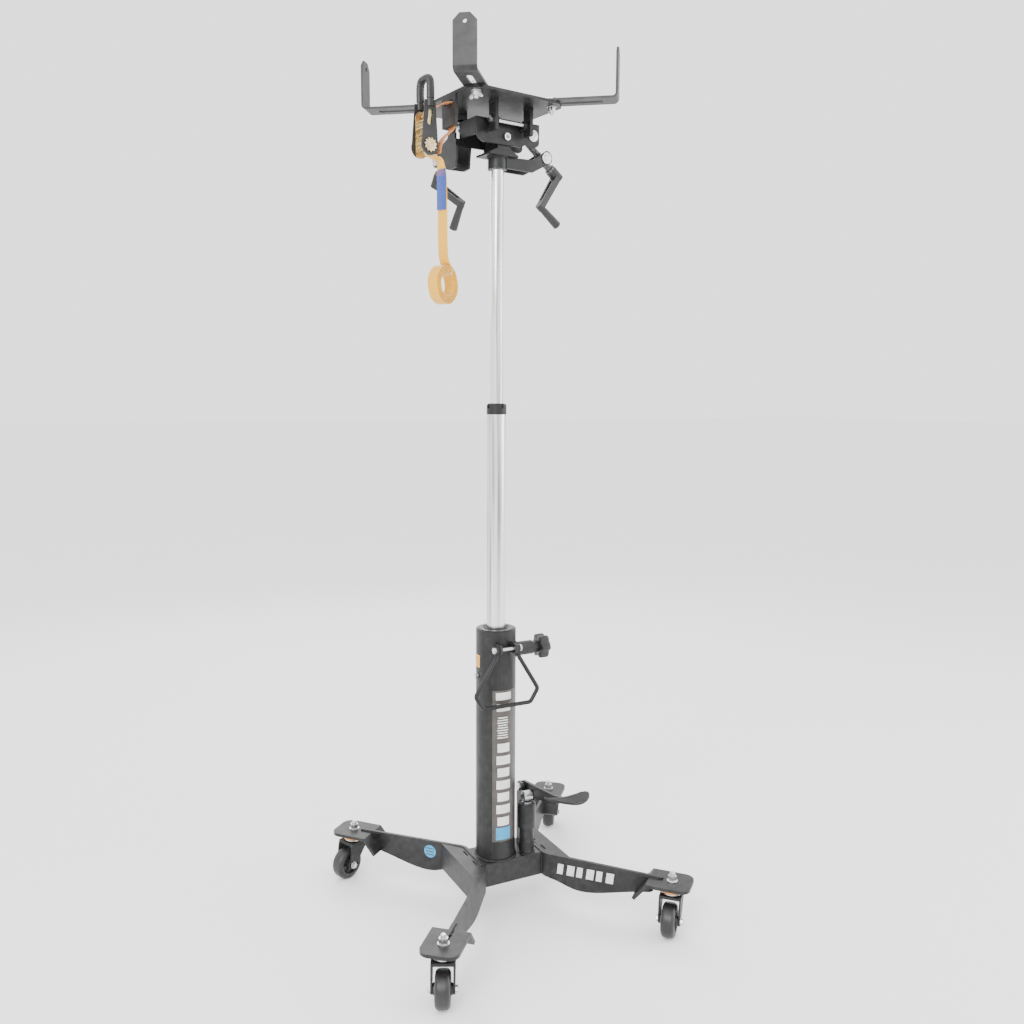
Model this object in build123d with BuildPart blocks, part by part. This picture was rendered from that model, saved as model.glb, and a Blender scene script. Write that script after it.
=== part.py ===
"""Telescopic transmission jack with a two-stage ram and a tilting saddle.

Millimetres.  The origin is on the floor under the mast.  +X runs along the front bar of the base,
+Y runs to the back and +Z is up.  The ram is drawn fully raised.
"""
from build123d import *
from math import atan2, cos, degrees, hypot, radians, sin, sqrt, tan
import os

os.makedirs("parts", exist_ok=True)

# ---------------------------------------------------------------- shared fits
running_fit = 0.05      # radial play of a turning or sliding fit
free_gap = 0.4          # space between faces that pass each other
zinc_washer = 2.0       # thickness of the plain washers

# ---------------------------------------------------------------- base
base_centre_x = 26.0    # middle of the base, to the right of the mast
box_length = 156.0
box_width = 100.0
box_height = 57.0
box_wall = 6.0
base_top = 131.0        # height of the face that the cylinder stands on

leg_thickness = 8.0
leg_bend_y = 60.0       # where each leg turns outward
leg_bend_radius = 34.0
leg_top_middle = 133.0
leg_top_end = 127.0
leg_belly = 54.0        # lowest point of a leg plate
brace_reach = 42.0
brace_depth = 66.0
brace_wall = 5.0

caster_x = 294.0        # half spacing of the caster stems
caster_y = 301.0
plate_top = 123.0
plate_thickness = 8.0
plate_width = 88.0
plate_inner = 55.0      # stem to the bend line
plate_outer = 47.0      # stem to the outer end
plate_corner = 24.0
guard_length = 50.0     # toe guard bent down at the inner end
guard_angle = 50.0
leg_end_gap = 22.0      # stem to the end of the leg plate, above the caster plate
leg_under_gap = 50.0    # and below it, clear of the swinging fork
leg_tip_height = 42.0

# ---------------------------------------------------------------- casters
wheel_diameter = 80.0
wheel_width = 33.0
wheel_shoulder = 9.0
hub_diameter = 30.0
fork_gap = 44.0         # between the inner faces of the fork
fork_wall = 4.0
fork_trail = 28.0
fork_crown = 6.0
stem_diameter = 12.0
seal_height = 12.0
seal_diameter = 58.0
axle_diameter = 8.0
axle_head = 5.0

# ---------------------------------------------------------------- cylinder and ram
tube_diameter = 97.0
tube_wall = 4.0
tube_height = 574.0
gland_height = 25.0
stage_1_diameter = 44.0
stage_1_wall = 4.0
stage_1_out = 514.0     # bright length between gland and collar
stage_1_travel = 510.0
stage_1_overlap = 55.0
collar_diameter = 47.0
collar_height = 24.0
stage_2_diameter = 30.0
stage_2_out = 532.0
stage_2_travel = 530.0
piston_height = 22.0

# ---------------------------------------------------------------- handle and release valve
lug_gap = 34.0
lug_wall = 6.0
lug_height = 24.0
handle_pin_y = -62.0
handle_pin_z = 666.0
handle_pin_diameter = 8.0
handle_rod = 10.0
handle_width = 176.0
handle_drop = 138.0
valve_z = 650.0
filler_z = 592.0
valve_y = -14.0
valve_diameter = 34.0
valve_end = 104.0
knob_diameter = 62.0
knob_depth = 34.0

# ---------------------------------------------------------------- foot pump
pump_x = 72.0
pump_y = -29.0
pump_diameter = 37.0
pump_height = 84.0
plunger_diameter = 16.0
plunger_head = 28.0
sleeve_diameter = 45.0
sleeve_bottom = 198.0
sleeve_top = 260.0
sleeve_wall = 3.5
pedal_travel = 17.5
spring_wire = 3.0
spring_radius = 12.8
post_thickness = 8.0
post_width = 30.0
post_top = 294.0
pivot_y = 16.0
pivot_z = 283.0
lever_x = 85.0          # left face of the pedal lever
lever_thickness = 8.0
roller_diameter = 26.0
roller_length = 23.0
pad_length = 74.0
pad_width = 96.0
pad_y = -216.0
pad_z = 335.0
pad_slope = 10.0

# ---------------------------------------------------------------- head
head_yaw = 8.0          # how far the head is swivelled on the ram
socket_diameter = 44.0
socket_height = 30.0
block_length = 78.0
block_height = 16.0
block_width = 58.0
ear_thickness = 6.0
tilt_pivot_z = 1840.0
tilt_bolt_diameter = 12.0
frame_left = -80.0
frame_right = 92.0
frame_width = 72.0
frame_wall = 6.0
frame_bottom = 1822.0
frame_top = 1874.0
trunnion_diameter = 22.0
arm_width = 40.0        # over the two plates that hold a lower trunnion
arm_wall = 5.0
screw_diameter = 14.0
nut_bore_play = 1.6     # the open pivot of each tilt linkage
side_upper = (74.0, 1853.5)
side_lower = (125.5, 1814.6)
fore_upper = (67.0, 1880.0)
fore_lower = (118.0, 1806.0)
fore_x = -72.0
screw_end = 9.0         # screw standing out past its upper nut
crank_reach = 50.0      # lower trunnion to the middle of the crank hub
crank_arm = 98.0
crank_grip = 58.0
crank_hub = 30.0

saddle_x = -22.0        # middle of the saddle plate, from the mast
saddle_half = 127.0
saddle_corner = 26.0
saddle_thickness = 6.0
saddle_top = 1910.0
rod_y = -52.0
rod_z = 1868.0
rod_diameter = 9.0
rod_lug_x = 47.0
rod_lug_wall = 8.0
rod_lug_width = 26.0
rod_lug_drop = 24.0     # below the rod
flange_y = -32.0
flange_width = 56.0
flange_drop = 64.0

corner_bolt_radius = 142.0
corner_bolt = 10.0
foot_inner = 114.0      # inner end of a foot, from the saddle's middle
upright_radius = 291.0
arm_bar = 50.0
arm_plate = 5.0
upright_height = 110.0
tip_hole = 9.0
slid_in = {"front_left": 41.0, "front_right": 3.0, "rear_left": 0.0, "rear_right": 6.0}
slot_inner = 128.0
slot_outer = 254.0

# ---------------------------------------------------------------- ratchet strap
webbing_width = 25.0
webbing_thickness = 2.0
ratchet_x = -196.0
ratchet_y = -10.0
ratchet_bottom = 1774.0
ratchet_height = 114.0
ratchet_width = 52.0
ratchet_depth = 34.0
ratchet_side = 2.5
spool_diameter = 15.0
grip_top = 1948.0
strap_x = -164.0
strap_y = -30.0
strap_bend_z = 1815.0   # where the hanging webbing turns in under the flange
strap_turn = 26.0        # twist of the hanging webbing, away from the flange
roll_z = 1505.0
roll_outer = 88.0
roll_inner = 46.0


def frame_at(x, y, turn):
    """Level frame at a point of the floor, turned about +Z by an angle in degrees."""
    away = (cos(radians(turn)), sin(radians(turn)), 0)
    return Plane(origin=(x, y, 0), x_dir=away, z_dir=(0, 0, 1))


def facing_front(frame, back=0.0):
    """Upright plane of a frame, x to its right and y up, that far behind its origin."""
    at = frame.from_local_coords(Vector(0, back, 0))
    return Plane(origin=at, x_dir=frame.x_dir, z_dir=-frame.y_dir)


def facing_side(frame, right=0.0):
    """Upright plane of a frame, x to its back and y up, that far right of its origin."""
    at = frame.from_local_coords(Vector(right, 0, 0))
    return Plane(origin=at, x_dir=frame.y_dir, z_dir=frame.x_dir)


def level(frame, height):
    """Level plane of a frame at a height."""
    return frame.offset(height)


def save(piece, label):
    """Name a finished piece and write it."""
    piece.part.label = label
    export_step(piece.part, f"parts/{label}.step")


base = frame_at(0, 0, 0)
head = frame_at(0, 0, head_yaw)

# ================================================================ base
box_bottom = base_top - box_height
side_x = box_length / 2 + leg_thickness / 2
leg_run_x = caster_x - side_x
leg_run_y = caster_y - leg_bend_y
leg_turn = degrees(atan2(leg_run_y, leg_run_x))
leg_length = hypot(leg_run_x, leg_run_y) - leg_end_gap
leg_end_x = side_x + leg_length * cos(radians(leg_turn))
leg_end_y = leg_bend_y + leg_length * sin(radians(leg_turn))
plate_bottom = plate_top - plate_thickness
under_y = leg_end_y - (leg_under_gap - leg_end_gap) * sin(radians(leg_turn))

with BuildPart() as base_box:
    with BuildSketch(facing_side(base, base_centre_x)):
        with Locations((0, base_top - box_height / 2)):
            Rectangle(box_width, box_height)
        with Locations((0, base_top - box_height / 2 - box_wall / 2)):
            Rectangle(box_width - 2 * box_wall, box_height - box_wall, mode=Mode.SUBTRACT)
    extrude(amount=box_length / 2, both=True)
    top_edges = base_box.edges().filter_by(Axis.X).group_by(Axis.Z)[-1]
    fillet(top_edges, radius=3)
save(base_box, "base_box")


def leg_profile():
    """Side view of a leg plate, from the tip of one leg to the tip of the other."""
    with BuildSketch() as outline:
        with BuildLine():
            Polyline(
                (-under_y, leg_top_end - leg_tip_height),
                (-under_y, plate_bottom),
                (-leg_end_y, plate_bottom),
                (-leg_end_y, leg_top_end),
                (-leg_bend_y, leg_top_middle),
                (leg_bend_y, leg_top_middle),
                (leg_end_y, leg_top_end),
                (leg_end_y, plate_bottom),
                (under_y, plate_bottom),
                (under_y, leg_top_end - leg_tip_height),
            )
            Spline(
                (under_y, leg_top_end - leg_tip_height),
                (leg_bend_y + 60, leg_belly),
                (leg_bend_y - 12, box_bottom),
                tangents=((-0.97, -0.2), (-1, 0)),
            )
            Line((leg_bend_y - 12, box_bottom), (-leg_bend_y + 12, box_bottom))
            Spline(
                (-leg_bend_y + 12, box_bottom),
                (-leg_bend_y - 60, leg_belly),
                (-under_y, leg_top_end - leg_tip_height),
                tangents=((-1, 0), (-0.97, 0.2)),
            )
        make_face()
    return outline.sketch


def leg_plate(side):
    """One bent flat bar on edge: two legs and the stretch along the base box between them."""
    x = base_centre_x + side * side_x
    tip_x = base_centre_x + side * leg_end_x
    with BuildPart() as plate:
        with BuildSketch(level(base, leg_belly - 10)):
            with BuildLine():
                FilletPolyline(
                    (tip_x, -leg_end_y),
                    (x, -leg_bend_y),
                    (x, leg_bend_y),
                    (tip_x, leg_end_y),
                    radius=leg_bend_radius,
                )
            trace(line_width=leg_thickness)
        extrude(amount=leg_top_middle - leg_belly + 20)
        with BuildSketch(facing_side(base, x)):
            add(leg_profile())
        extrude(amount=2 * caster_x, both=True, mode=Mode.INTERSECT)
    return plate


leg_plate_left = leg_plate(-1)
save(leg_plate_left, "leg_plate_left")
leg_plate_right = leg_plate(1)
save(leg_plate_right, "leg_plate_right")

with BuildPart() as leg_braces:
    face_x = side_x + leg_thickness / 2
    web_y = leg_bend_y + brace_reach * tan(radians(leg_turn))
    for side in (-1, 1):
        inner = base_centre_x + side * face_x
        outer = base_centre_x + side * (face_x + brace_reach)
        with BuildSketch(level(base, base_top)):
            with BuildLine():
                Polyline(
                    (inner, -leg_bend_y),
                    (outer, -web_y),
                    (outer, web_y),
                    (inner, leg_bend_y),
                    close=True,
                )
            make_face()
        extrude(amount=-brace_wall)
        with BuildSketch(level(base, base_top)):
            with Locations((outer - side * brace_wall / 2, 0)):
                Rectangle(brace_wall, 2 * web_y)
        extrude(amount=-brace_depth)
        with BuildSketch(level(base, base_top)):
            slots = [(inner + side * 9, -0.45 * leg_bend_y), (inner + side * 9, 0.45 * leg_bend_y)]
            with Locations(*slots):
                SlotOverall(26, 4, rotation=90)
        extrude(amount=-brace_wall, mode=Mode.SUBTRACT)
    add(leg_plate_left.part, mode=Mode.SUBTRACT)
    add(leg_plate_right.part, mode=Mode.SUBTRACT)
save(leg_braces, "leg_braces")

corners = {
    "front_left": (-1, -1, -116.0),
    "front_right": (1, -1, -136.0),
    "rear_left": (-1, 1, -155.0),
    "rear_right": (1, 1, 58.0),
}


def corner_frame(name):
    """Frame at a caster stem with +X pointing away along its leg."""
    sx, sy, _ = corners[name]
    turn = degrees(atan2(sy * leg_run_y, sx * leg_run_x))
    return frame_at(base_centre_x + sx * caster_x, sy * caster_y, turn)


guard_dx = guard_length * cos(radians(guard_angle))
guard_dz = guard_length * sin(radians(guard_angle))
bend_back = plate_thickness * tan(radians(guard_angle / 2))
guard_tx = plate_thickness * sin(radians(guard_angle))
guard_tz = plate_thickness * cos(radians(guard_angle))

with BuildPart() as caster_plates:
    for name in corners:
        at = corner_frame(name)
        with BuildSketch(facing_front(at)):
            with BuildLine():
                Polyline(
                    (plate_outer, plate_top),
                    (-plate_inner, plate_top),
                    (-plate_inner - guard_dx, plate_top - guard_dz),
                    (-plate_inner - guard_dx + guard_tx, plate_top - guard_dz - guard_tz),
                    (-plate_inner + bend_back, plate_bottom),
                    (plate_outer, plate_bottom),
                    close=True,
                )
            make_face()
        extrude(amount=plate_width / 2, both=True)
    ends = caster_plates.edges().filter_by(Axis.Z)
    outer_ends = [e for e in ends if abs(e.center().Y) > caster_y]
    fillet(outer_ends, radius=plate_corner)
    for name in corners:
        at = corner_frame(name)
        with BuildSketch(level(at, plate_top + 1)):
            slot_start = -plate_inner - guard_dx - 10
            slot_length = -leg_end_gap - slot_start
            with Locations((slot_start + slot_length / 2, 0)):
                Rectangle(slot_length, leg_thickness)
            Circle(stem_diameter / 2)
        extrude(amount=-plate_thickness - guard_dz - guard_tz, mode=Mode.SUBTRACT)
save(caster_plates, "caster_plates")

# ================================================================ casters
fork_top = plate_bottom - seal_height - free_gap
race_height = 6.0
crown_top = fork_top - race_height
crown_bottom = crown_top - fork_crown
axle_z = wheel_diameter / 2
fork_outside = fork_gap / 2 + fork_wall

with BuildPart() as swivel_seals:
    for name in corners:
        with BuildSketch(level(corner_frame(name), plate_bottom)):
            Circle(seal_diameter / 2)
            Circle(stem_diameter / 2, mode=Mode.SUBTRACT)
        extrude(amount=-seal_height)
save(swivel_seals, "swivel_seals")

with BuildPart() as caster_stems:
    stem_top = plate_top + zinc_washer + 20
    nut_top = plate_top + zinc_washer + 10
    for name in corners:
        at = corner_frame(name)
        stem_low = crown_bottom - free_gap - 6
        with BuildSketch(level(at, stem_low)):
            Circle(17)
        extrude(amount=6)
        with BuildSketch(level(at, stem_low)):
            Circle(stem_diameter / 2)
        extrude(amount=stem_top - stem_low)
        with BuildSketch(level(at, plate_top)):
            Circle(13)
        extrude(amount=zinc_washer)
        with BuildSketch(level(at, plate_top + zinc_washer)):
            RegularPolygon(radius=10.5, side_count=6)
        extrude(amount=nut_top - plate_top - zinc_washer)
    tips = caster_stems.edges().filter_by(GeomType.CIRCLE).group_by(Axis.Z)[-1]
    chamfer(tips, length=1.5)
save(caster_stems, "caster_stems")


def caster_fork(name):
    """Swivel fork with its raceway, trailing at the angle that the wheel has been left at."""
    x, y = corner_frame(name).origin.X, corner_frame(name).origin.Y
    at = frame_at(x, y, corners[name][2])
    with BuildPart() as fork:
        with BuildSketch(facing_front(at)):
            with BuildLine():
                Polyline(
                    (-24, crown_top),
                    (30, crown_top),
                    (34, crown_bottom - 8),
                    (fork_trail + 11, axle_z),
                )
                RadiusArc((fork_trail + 11, axle_z), (fork_trail - 11, axle_z), 11)
                Polyline((fork_trail - 11, axle_z), (-24, crown_bottom), (-24, crown_top))
            make_face()
        extrude(amount=fork_outside, both=True)
        with BuildSketch(facing_front(at)):
            with Locations((0, crown_bottom / 2)):
                Rectangle(160, crown_bottom)
        extrude(amount=fork_gap / 2, both=True, mode=Mode.SUBTRACT)
        with BuildSketch(level(at, crown_top)):
            Circle(25)
        extrude(amount=race_height, taper=20)
        with BuildSketch(level(at, crown_bottom)):
            Circle(stem_diameter / 2 + running_fit)
        extrude(amount=fork_crown + race_height, mode=Mode.SUBTRACT)
        with BuildSketch(facing_front(at)):
            with Locations((fork_trail, axle_z)):
                Circle(axle_diameter / 2)
        extrude(amount=fork_outside, both=True, mode=Mode.SUBTRACT)
    return fork


def caster_wheel(name):
    """Solid wheel with rounded shoulders and a wider hub."""
    x, y = corner_frame(name).origin.X, corner_frame(name).origin.Y
    at = frame_at(x, y, corners[name][2])
    middle = facing_front(at)
    with BuildPart() as wheel:
        with BuildSketch(middle):
            with Locations((fork_trail, axle_z)):
                Circle(wheel_diameter / 2)
        extrude(amount=wheel_width / 2, both=True)
        rims = wheel.edges().filter_by(GeomType.CIRCLE)
        fillet(rims, radius=wheel_shoulder)
        with BuildSketch(middle):
            with Locations((fork_trail, axle_z)):
                Circle(hub_diameter / 2)
        extrude(amount=fork_gap / 2 - free_gap, both=True)
        with BuildSketch(middle):
            with Locations((fork_trail, axle_z)):
                Circle(axle_diameter / 2 + running_fit)
        extrude(amount=fork_gap, both=True, mode=Mode.SUBTRACT)
    return wheel


def caster_axle(name):
    """Axle bolt with its head and nut outside the fork."""
    x, y = corner_frame(name).origin.X, corner_frame(name).origin.Y
    at = frame_at(x, y, corners[name][2])
    with BuildPart() as axle:
        with BuildSketch(facing_front(at)):
            with Locations((fork_trail, axle_z)):
                Circle(axle_diameter / 2)
        extrude(amount=fork_outside + axle_head + 1.5, both=True)
        for side in (-1, 1):
            with BuildSketch(facing_front(at, side * fork_outside)):
                with Locations((fork_trail, axle_z)):
                    RegularPolygon(radius=7.5, side_count=6)
            extrude(amount=-side * axle_head)
    return axle


for name in corners:
    save(caster_fork(name), f"caster_fork_{name}")
    save(caster_wheel(name), f"caster_wheel_{name}")
    save(caster_axle(name), f"caster_axle_{name}")

# ================================================================ cylinder and ram
tube_radius = tube_diameter / 2
tube_bore = tube_radius - tube_wall
tube_top = base_top + tube_height
gland_bottom = tube_top - gland_height
tube_floor = base_top + 8

with BuildPart() as cylinder_tube:
    with BuildSketch(level(base, base_top)):
        Circle(tube_radius)
    extrude(amount=tube_height)
    with BuildSketch(level(base, tube_floor)):
        Circle(tube_bore)
    extrude(amount=tube_height, mode=Mode.SUBTRACT)
    rim = cylinder_tube.edges().filter_by(GeomType.CIRCLE).group_by(Axis.Z)[-1]
    chamfer(rim.sort_by(SortBy.LENGTH)[-1], length=1.5)
    for side in (-1, 1):
        with BuildSketch(facing_side(base, side * (lug_gap / 2 + lug_wall / 2))):
            lug_back = -sqrt(tube_radius**2 - (lug_gap / 2) ** 2) + 2
            with Locations(((handle_pin_y + lug_back) / 2, handle_pin_z)):
                Rectangle(lug_back - handle_pin_y, lug_height)
            with Locations((handle_pin_y, handle_pin_z)):
                Circle(lug_height / 2)
            with Locations((handle_pin_y, handle_pin_z)):
                Circle(handle_pin_diameter / 2, mode=Mode.SUBTRACT)
        extrude(amount=lug_wall / 2, both=True)
save(cylinder_tube, "cylinder_tube")

with BuildPart() as cylinder_gland:
    with BuildSketch(level(base, gland_bottom)):
        Circle(tube_bore)
        Circle(stage_1_diameter / 2 + running_fit, mode=Mode.SUBTRACT)
    extrude(amount=gland_height)
    with BuildSketch(level(base, tube_top)):
        with PolarLocations((stage_1_diameter / 2 + tube_bore) / 2, 4, start_angle=45):
            Circle(3)
    extrude(amount=-8, mode=Mode.SUBTRACT)
save(cylinder_gland, "cylinder_gland")

stage_1_bottom = tube_top - stage_1_overlap
stage_1_top = tube_top + stage_1_out + collar_height
collar_bottom = tube_top + stage_1_out
collar_fit_depth = 16.0
stage_1_bore = stage_1_diameter / 2 - stage_1_wall

with BuildPart() as ram_stage_1:
    with BuildSketch(level(base, stage_1_bottom)):
        Circle(stage_1_diameter / 2)
    extrude(amount=collar_bottom - stage_1_bottom)
    with BuildSketch(level(base, stage_1_bottom + 6)):
        Circle(stage_1_bore)
    extrude(amount=stage_1_top - stage_1_bottom, mode=Mode.SUBTRACT)
    with BuildSketch(level(base, stage_1_bottom)):
        Circle(tube_bore - running_fit)
        Circle(stage_1_diameter / 2, mode=Mode.SUBTRACT)
    extrude(amount=piston_height)
save(ram_stage_1, "ram_stage_1")

with BuildPart() as stage_1_collar:
    with BuildSketch(level(base, collar_bottom)):
        Circle(collar_diameter / 2)
    extrude(amount=collar_height)
    with BuildSketch(level(base, collar_bottom)):
        Circle(stage_1_bore)
    extrude(amount=-collar_fit_depth)
    rims = stage_1_collar.faces().sort_by(Axis.Z)[-1].edges()
    chamfer(rims, length=1.5)
    with BuildSketch(level(base, collar_bottom - collar_fit_depth)):
        Circle(stage_2_diameter / 2 + running_fit)
    extrude(amount=collar_height + collar_fit_depth, mode=Mode.SUBTRACT)
    with BuildSketch(level(base, stage_1_top)):
        with PolarLocations(collar_diameter / 2, 4, start_angle=head_yaw):
            Rectangle(5, 7)
    extrude(amount=-10, mode=Mode.SUBTRACT)
save(stage_1_collar, "stage_1_collar")

socket_bottom = stage_1_top + stage_2_out
rod_top = socket_bottom + socket_height - free_gap
stage_2_bottom = stage_1_bottom + 6 + stage_2_travel + 4
with BuildPart() as ram_stage_2:
    with BuildSketch(level(base, stage_2_bottom)):
        Circle(stage_2_diameter / 2)
    extrude(amount=rod_top - stage_2_bottom)
    with BuildSketch(level(base, stage_2_bottom)):
        Circle(stage_1_bore - running_fit)
    extrude(amount=piston_height / 2)
save(ram_stage_2, "ram_stage_2")

# ================================================================ handle and release valve
eye_width = 8.0
eye_x = lug_gap / 2 + lug_wall + free_gap + eye_width / 2
with BuildPart() as handle_pin:
    pin_half = eye_x + eye_width / 2 + free_gap
    with BuildSketch(facing_side(base)):
        with Locations((handle_pin_y, handle_pin_z)):
            Circle(handle_pin_diameter / 2)
    extrude(amount=pin_half, both=True)
    for side in (-1, 1):
        with BuildSketch(facing_side(base, side * pin_half)):
            with Locations((handle_pin_y, handle_pin_z)):
                RegularPolygon(radius=8, side_count=6)
        extrude(amount=side * 5)
save(handle_pin, "handle_pin")

with BuildPart() as carry_handle:
    front = facing_front(base, handle_pin_y)
    half = handle_width / 2 - handle_rod / 2
    low = handle_pin_z - handle_drop
    with BuildLine(front) as handle_path:
        FilletPolyline(
            (-eye_x - 1.5, handle_pin_z - 9),
            (-eye_x - 4, handle_pin_z - 22),
            (-half, low + 32),
            (-half + 20, low),
            (half - 20, low),
            (half, low + 32),
            (eye_x + 4, handle_pin_z - 22),
            (eye_x + 1.5, handle_pin_z - 9),
            radius=11,
        )
    with BuildSketch(Plane(origin=handle_path.line @ 0, z_dir=handle_path.line % 0)):
        Circle(handle_rod / 2)
    sweep(path=handle_path.line)
    for side in (-1, 1):
        with BuildSketch(facing_side(base, side * eye_x)):
            with Locations((handle_pin_y, handle_pin_z - 5)):
                Rectangle(12, 14)
            with Locations((handle_pin_y, handle_pin_z)):
                Circle(9)
            with Locations((handle_pin_y, handle_pin_z)):
                Circle(handle_pin_diameter / 2 + running_fit, mode=Mode.SUBTRACT)
        extrude(amount=eye_width / 2, both=True)
save(carry_handle, "carry_handle")

spindle = 10.0
with BuildPart() as release_valve_body:
    with BuildSketch(facing_side(base, 0)):
        with Locations((valve_y, valve_z)):
            Circle(valve_diameter / 2)
    extrude(amount=valve_end - 14)
    with BuildSketch(facing_side(base, valve_end - 14)):
        with Locations((valve_y, valve_z)):
            RegularPolygon(radius=valve_diameter / 2 - 2, side_count=6)
    extrude(amount=14)
    with BuildSketch(level(base, base_top)):
        Circle(tube_radius)
    extrude(amount=tube_height, mode=Mode.SUBTRACT)
    with BuildSketch(facing_side(base, valve_end)):
        with Locations((valve_y, valve_z)):
            Circle(spindle / 2 + running_fit)
    extrude(amount=-40, mode=Mode.SUBTRACT)
save(release_valve_body, "release_valve_body")

with BuildPart() as release_knob:
    knob_x = valve_end + 1.5
    with BuildSketch(facing_side(base, knob_x)):
        with Locations((valve_y, valve_z)):
            Circle(knob_diameter / 2 - 9)
            with PolarLocations(knob_diameter / 2 - 9, 3, start_angle=90):
                Circle(9)
    extrude(amount=knob_depth - 8)
    rims = release_knob.faces().filter_by(Axis.X).edges()
    fillet(rims, radius=2)
    with BuildSketch(facing_side(base, knob_x + knob_depth - 8)):
        with Locations((valve_y, valve_z)):
            Circle(12)
    extrude(amount=8, taper=12)
    with BuildSketch(facing_side(base, knob_x)):
        with Locations((valve_y, valve_z)):
            Circle(spindle / 2)
    extrude(amount=-38)
save(release_knob, "release_knob")

with BuildPart() as filler_plug:
    with BuildSketch(facing_side(base, -tube_radius - 7)):
        with Locations((0, filler_z)):
            RegularPolygon(radius=7, side_count=6)
    extrude(amount=5)
    with BuildSketch(facing_side(base, -tube_radius - 2)):
        with Locations((0, filler_z)):
            Circle(5)
    extrude(amount=12)
    add(cylinder_tube.part, mode=Mode.SUBTRACT)
    keep = filler_plug.solids().sort_by(Axis.X)[0]
    add(keep, mode=Mode.INTERSECT)
save(filler_plug, "filler_plug")

# ================================================================ foot pump
pump = frame_at(pump_x, pump_y, 0)
pump_top = base_top + pump_height
plunger_top = sleeve_top + 3
bore_bottom = sleeve_bottom - 2 * pedal_travel - 15
with BuildPart() as pump_body:
    with BuildSketch(level(pump, base_top)):
        Circle(pump_diameter / 2)
    extrude(amount=pump_height)
    with BuildSketch(level(pump, bore_bottom)):
        Circle(plunger_diameter / 2 + running_fit)
    extrude(amount=pump_top - bore_bottom, mode=Mode.SUBTRACT)
save(pump_body, "pump_body")

with BuildPart() as plunger_sleeve:
    with BuildSketch(level(pump, sleeve_bottom)):
        Circle(sleeve_diameter / 2)
        Circle(pump_diameter / 2 + free_gap, mode=Mode.SUBTRACT)
    extrude(amount=sleeve_top - sleeve_bottom)
    with BuildSketch(level(pump, sleeve_top)):
        Circle(sleeve_diameter / 2)
        Circle(plunger_diameter / 2, mode=Mode.SUBTRACT)
    extrude(amount=-5)
    outer_rim = plunger_sleeve.edges().filter_by(GeomType.CIRCLE).sort_by(SortBy.LENGTH)[-2:]
    chamfer(outer_rim.sort_by(Axis.Z)[-1], length=2.5)
save(plunger_sleeve, "plunger_sleeve")

with BuildPart() as pump_plunger:
    with BuildSketch(level(pump, bore_bottom + pedal_travel + 4)):
        Circle(plunger_diameter / 2)
    extrude(amount=plunger_top - bore_bottom - pedal_travel - 4)
    with BuildSketch(level(pump, sleeve_top)):
        Circle(plunger_head / 2)
    extrude(amount=plunger_top - sleeve_top)
save(pump_plunger, "pump_plunger")

spring_low = pump_top + spring_wire / 2 + 0.1
spring_high = sleeve_top - 5 - spring_wire / 2 - 0.1
with BuildPart() as return_spring:
    with BuildLine(level(pump, spring_low)) as coil:
        Helix(pitch=(spring_high - spring_low) / 4, height=spring_high - spring_low, radius=spring_radius)
    with BuildSketch(Plane(origin=coil.line @ 0, z_dir=coil.line % 0)):
        Circle(spring_wire / 2)
    sweep(path=coil.line)
save(return_spring, "return_spring")

with BuildPart() as lever_post:
    post_x = lever_x - zinc_washer - post_thickness
    with BuildSketch(facing_side(base, post_x)):
        with Locations((pivot_y, (base_top + post_top) / 2)):
            Rectangle(post_width, post_top - base_top)
        with Locations((pivot_y, pivot_z)):
            Circle(6, mode=Mode.SUBTRACT)
    extrude(amount=post_thickness)
    corners_top = lever_post.edges().filter_by(Axis.X).group_by(Axis.Z)[-1]
    chamfer(corners_top, length=6)
save(lever_post, "lever_post")

with BuildPart() as lever_pin:
    with BuildSketch(facing_side(base, post_x - 6)):
        with Locations((pivot_y, pivot_z)):
            RegularPolygon(radius=9.5, side_count=6)
    extrude(amount=6)
    with BuildSketch(facing_side(base, post_x)):
        with Locations((pivot_y, pivot_z)):
            Circle(6)
    extrude(amount=post_thickness + zinc_washer + lever_thickness + free_gap + 8)
    with BuildSketch(facing_side(base, lever_x + lever_thickness + free_gap)):
        with Locations((pivot_y, pivot_z)):
            RegularPolygon(radius=9.5, side_count=6)
    extrude(amount=6)
save(lever_pin, "lever_pin")

roller_z = plunger_top + roller_diameter / 2 + free_gap
roller_pin = 8.0
pad_x = lever_x + lever_thickness / 2 + 2
pad_frame = Plane(
    origin=(pad_x, pad_y, pad_z),
    x_dir=(1, 0, 0),
    z_dir=(0, sin(radians(pad_slope)), cos(radians(pad_slope))),
)


def dish(thickness, lift):
    """Cross-section of the pad's dished plate."""
    sag = 9.0
    half = pad_width / 2 + 6
    under = lift - thickness
    with BuildSketch() as strip:
        with BuildLine():
            ThreePointArc((-half, sag + lift), (0, lift), (half, sag + lift))
            Line((half, sag + lift), (half, sag + under))
            ThreePointArc((half, sag + under), (0, under), (-half, sag + under))
            Line((-half, sag + under), (-half, sag + lift))
        make_face()
    return strip.sketch


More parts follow.
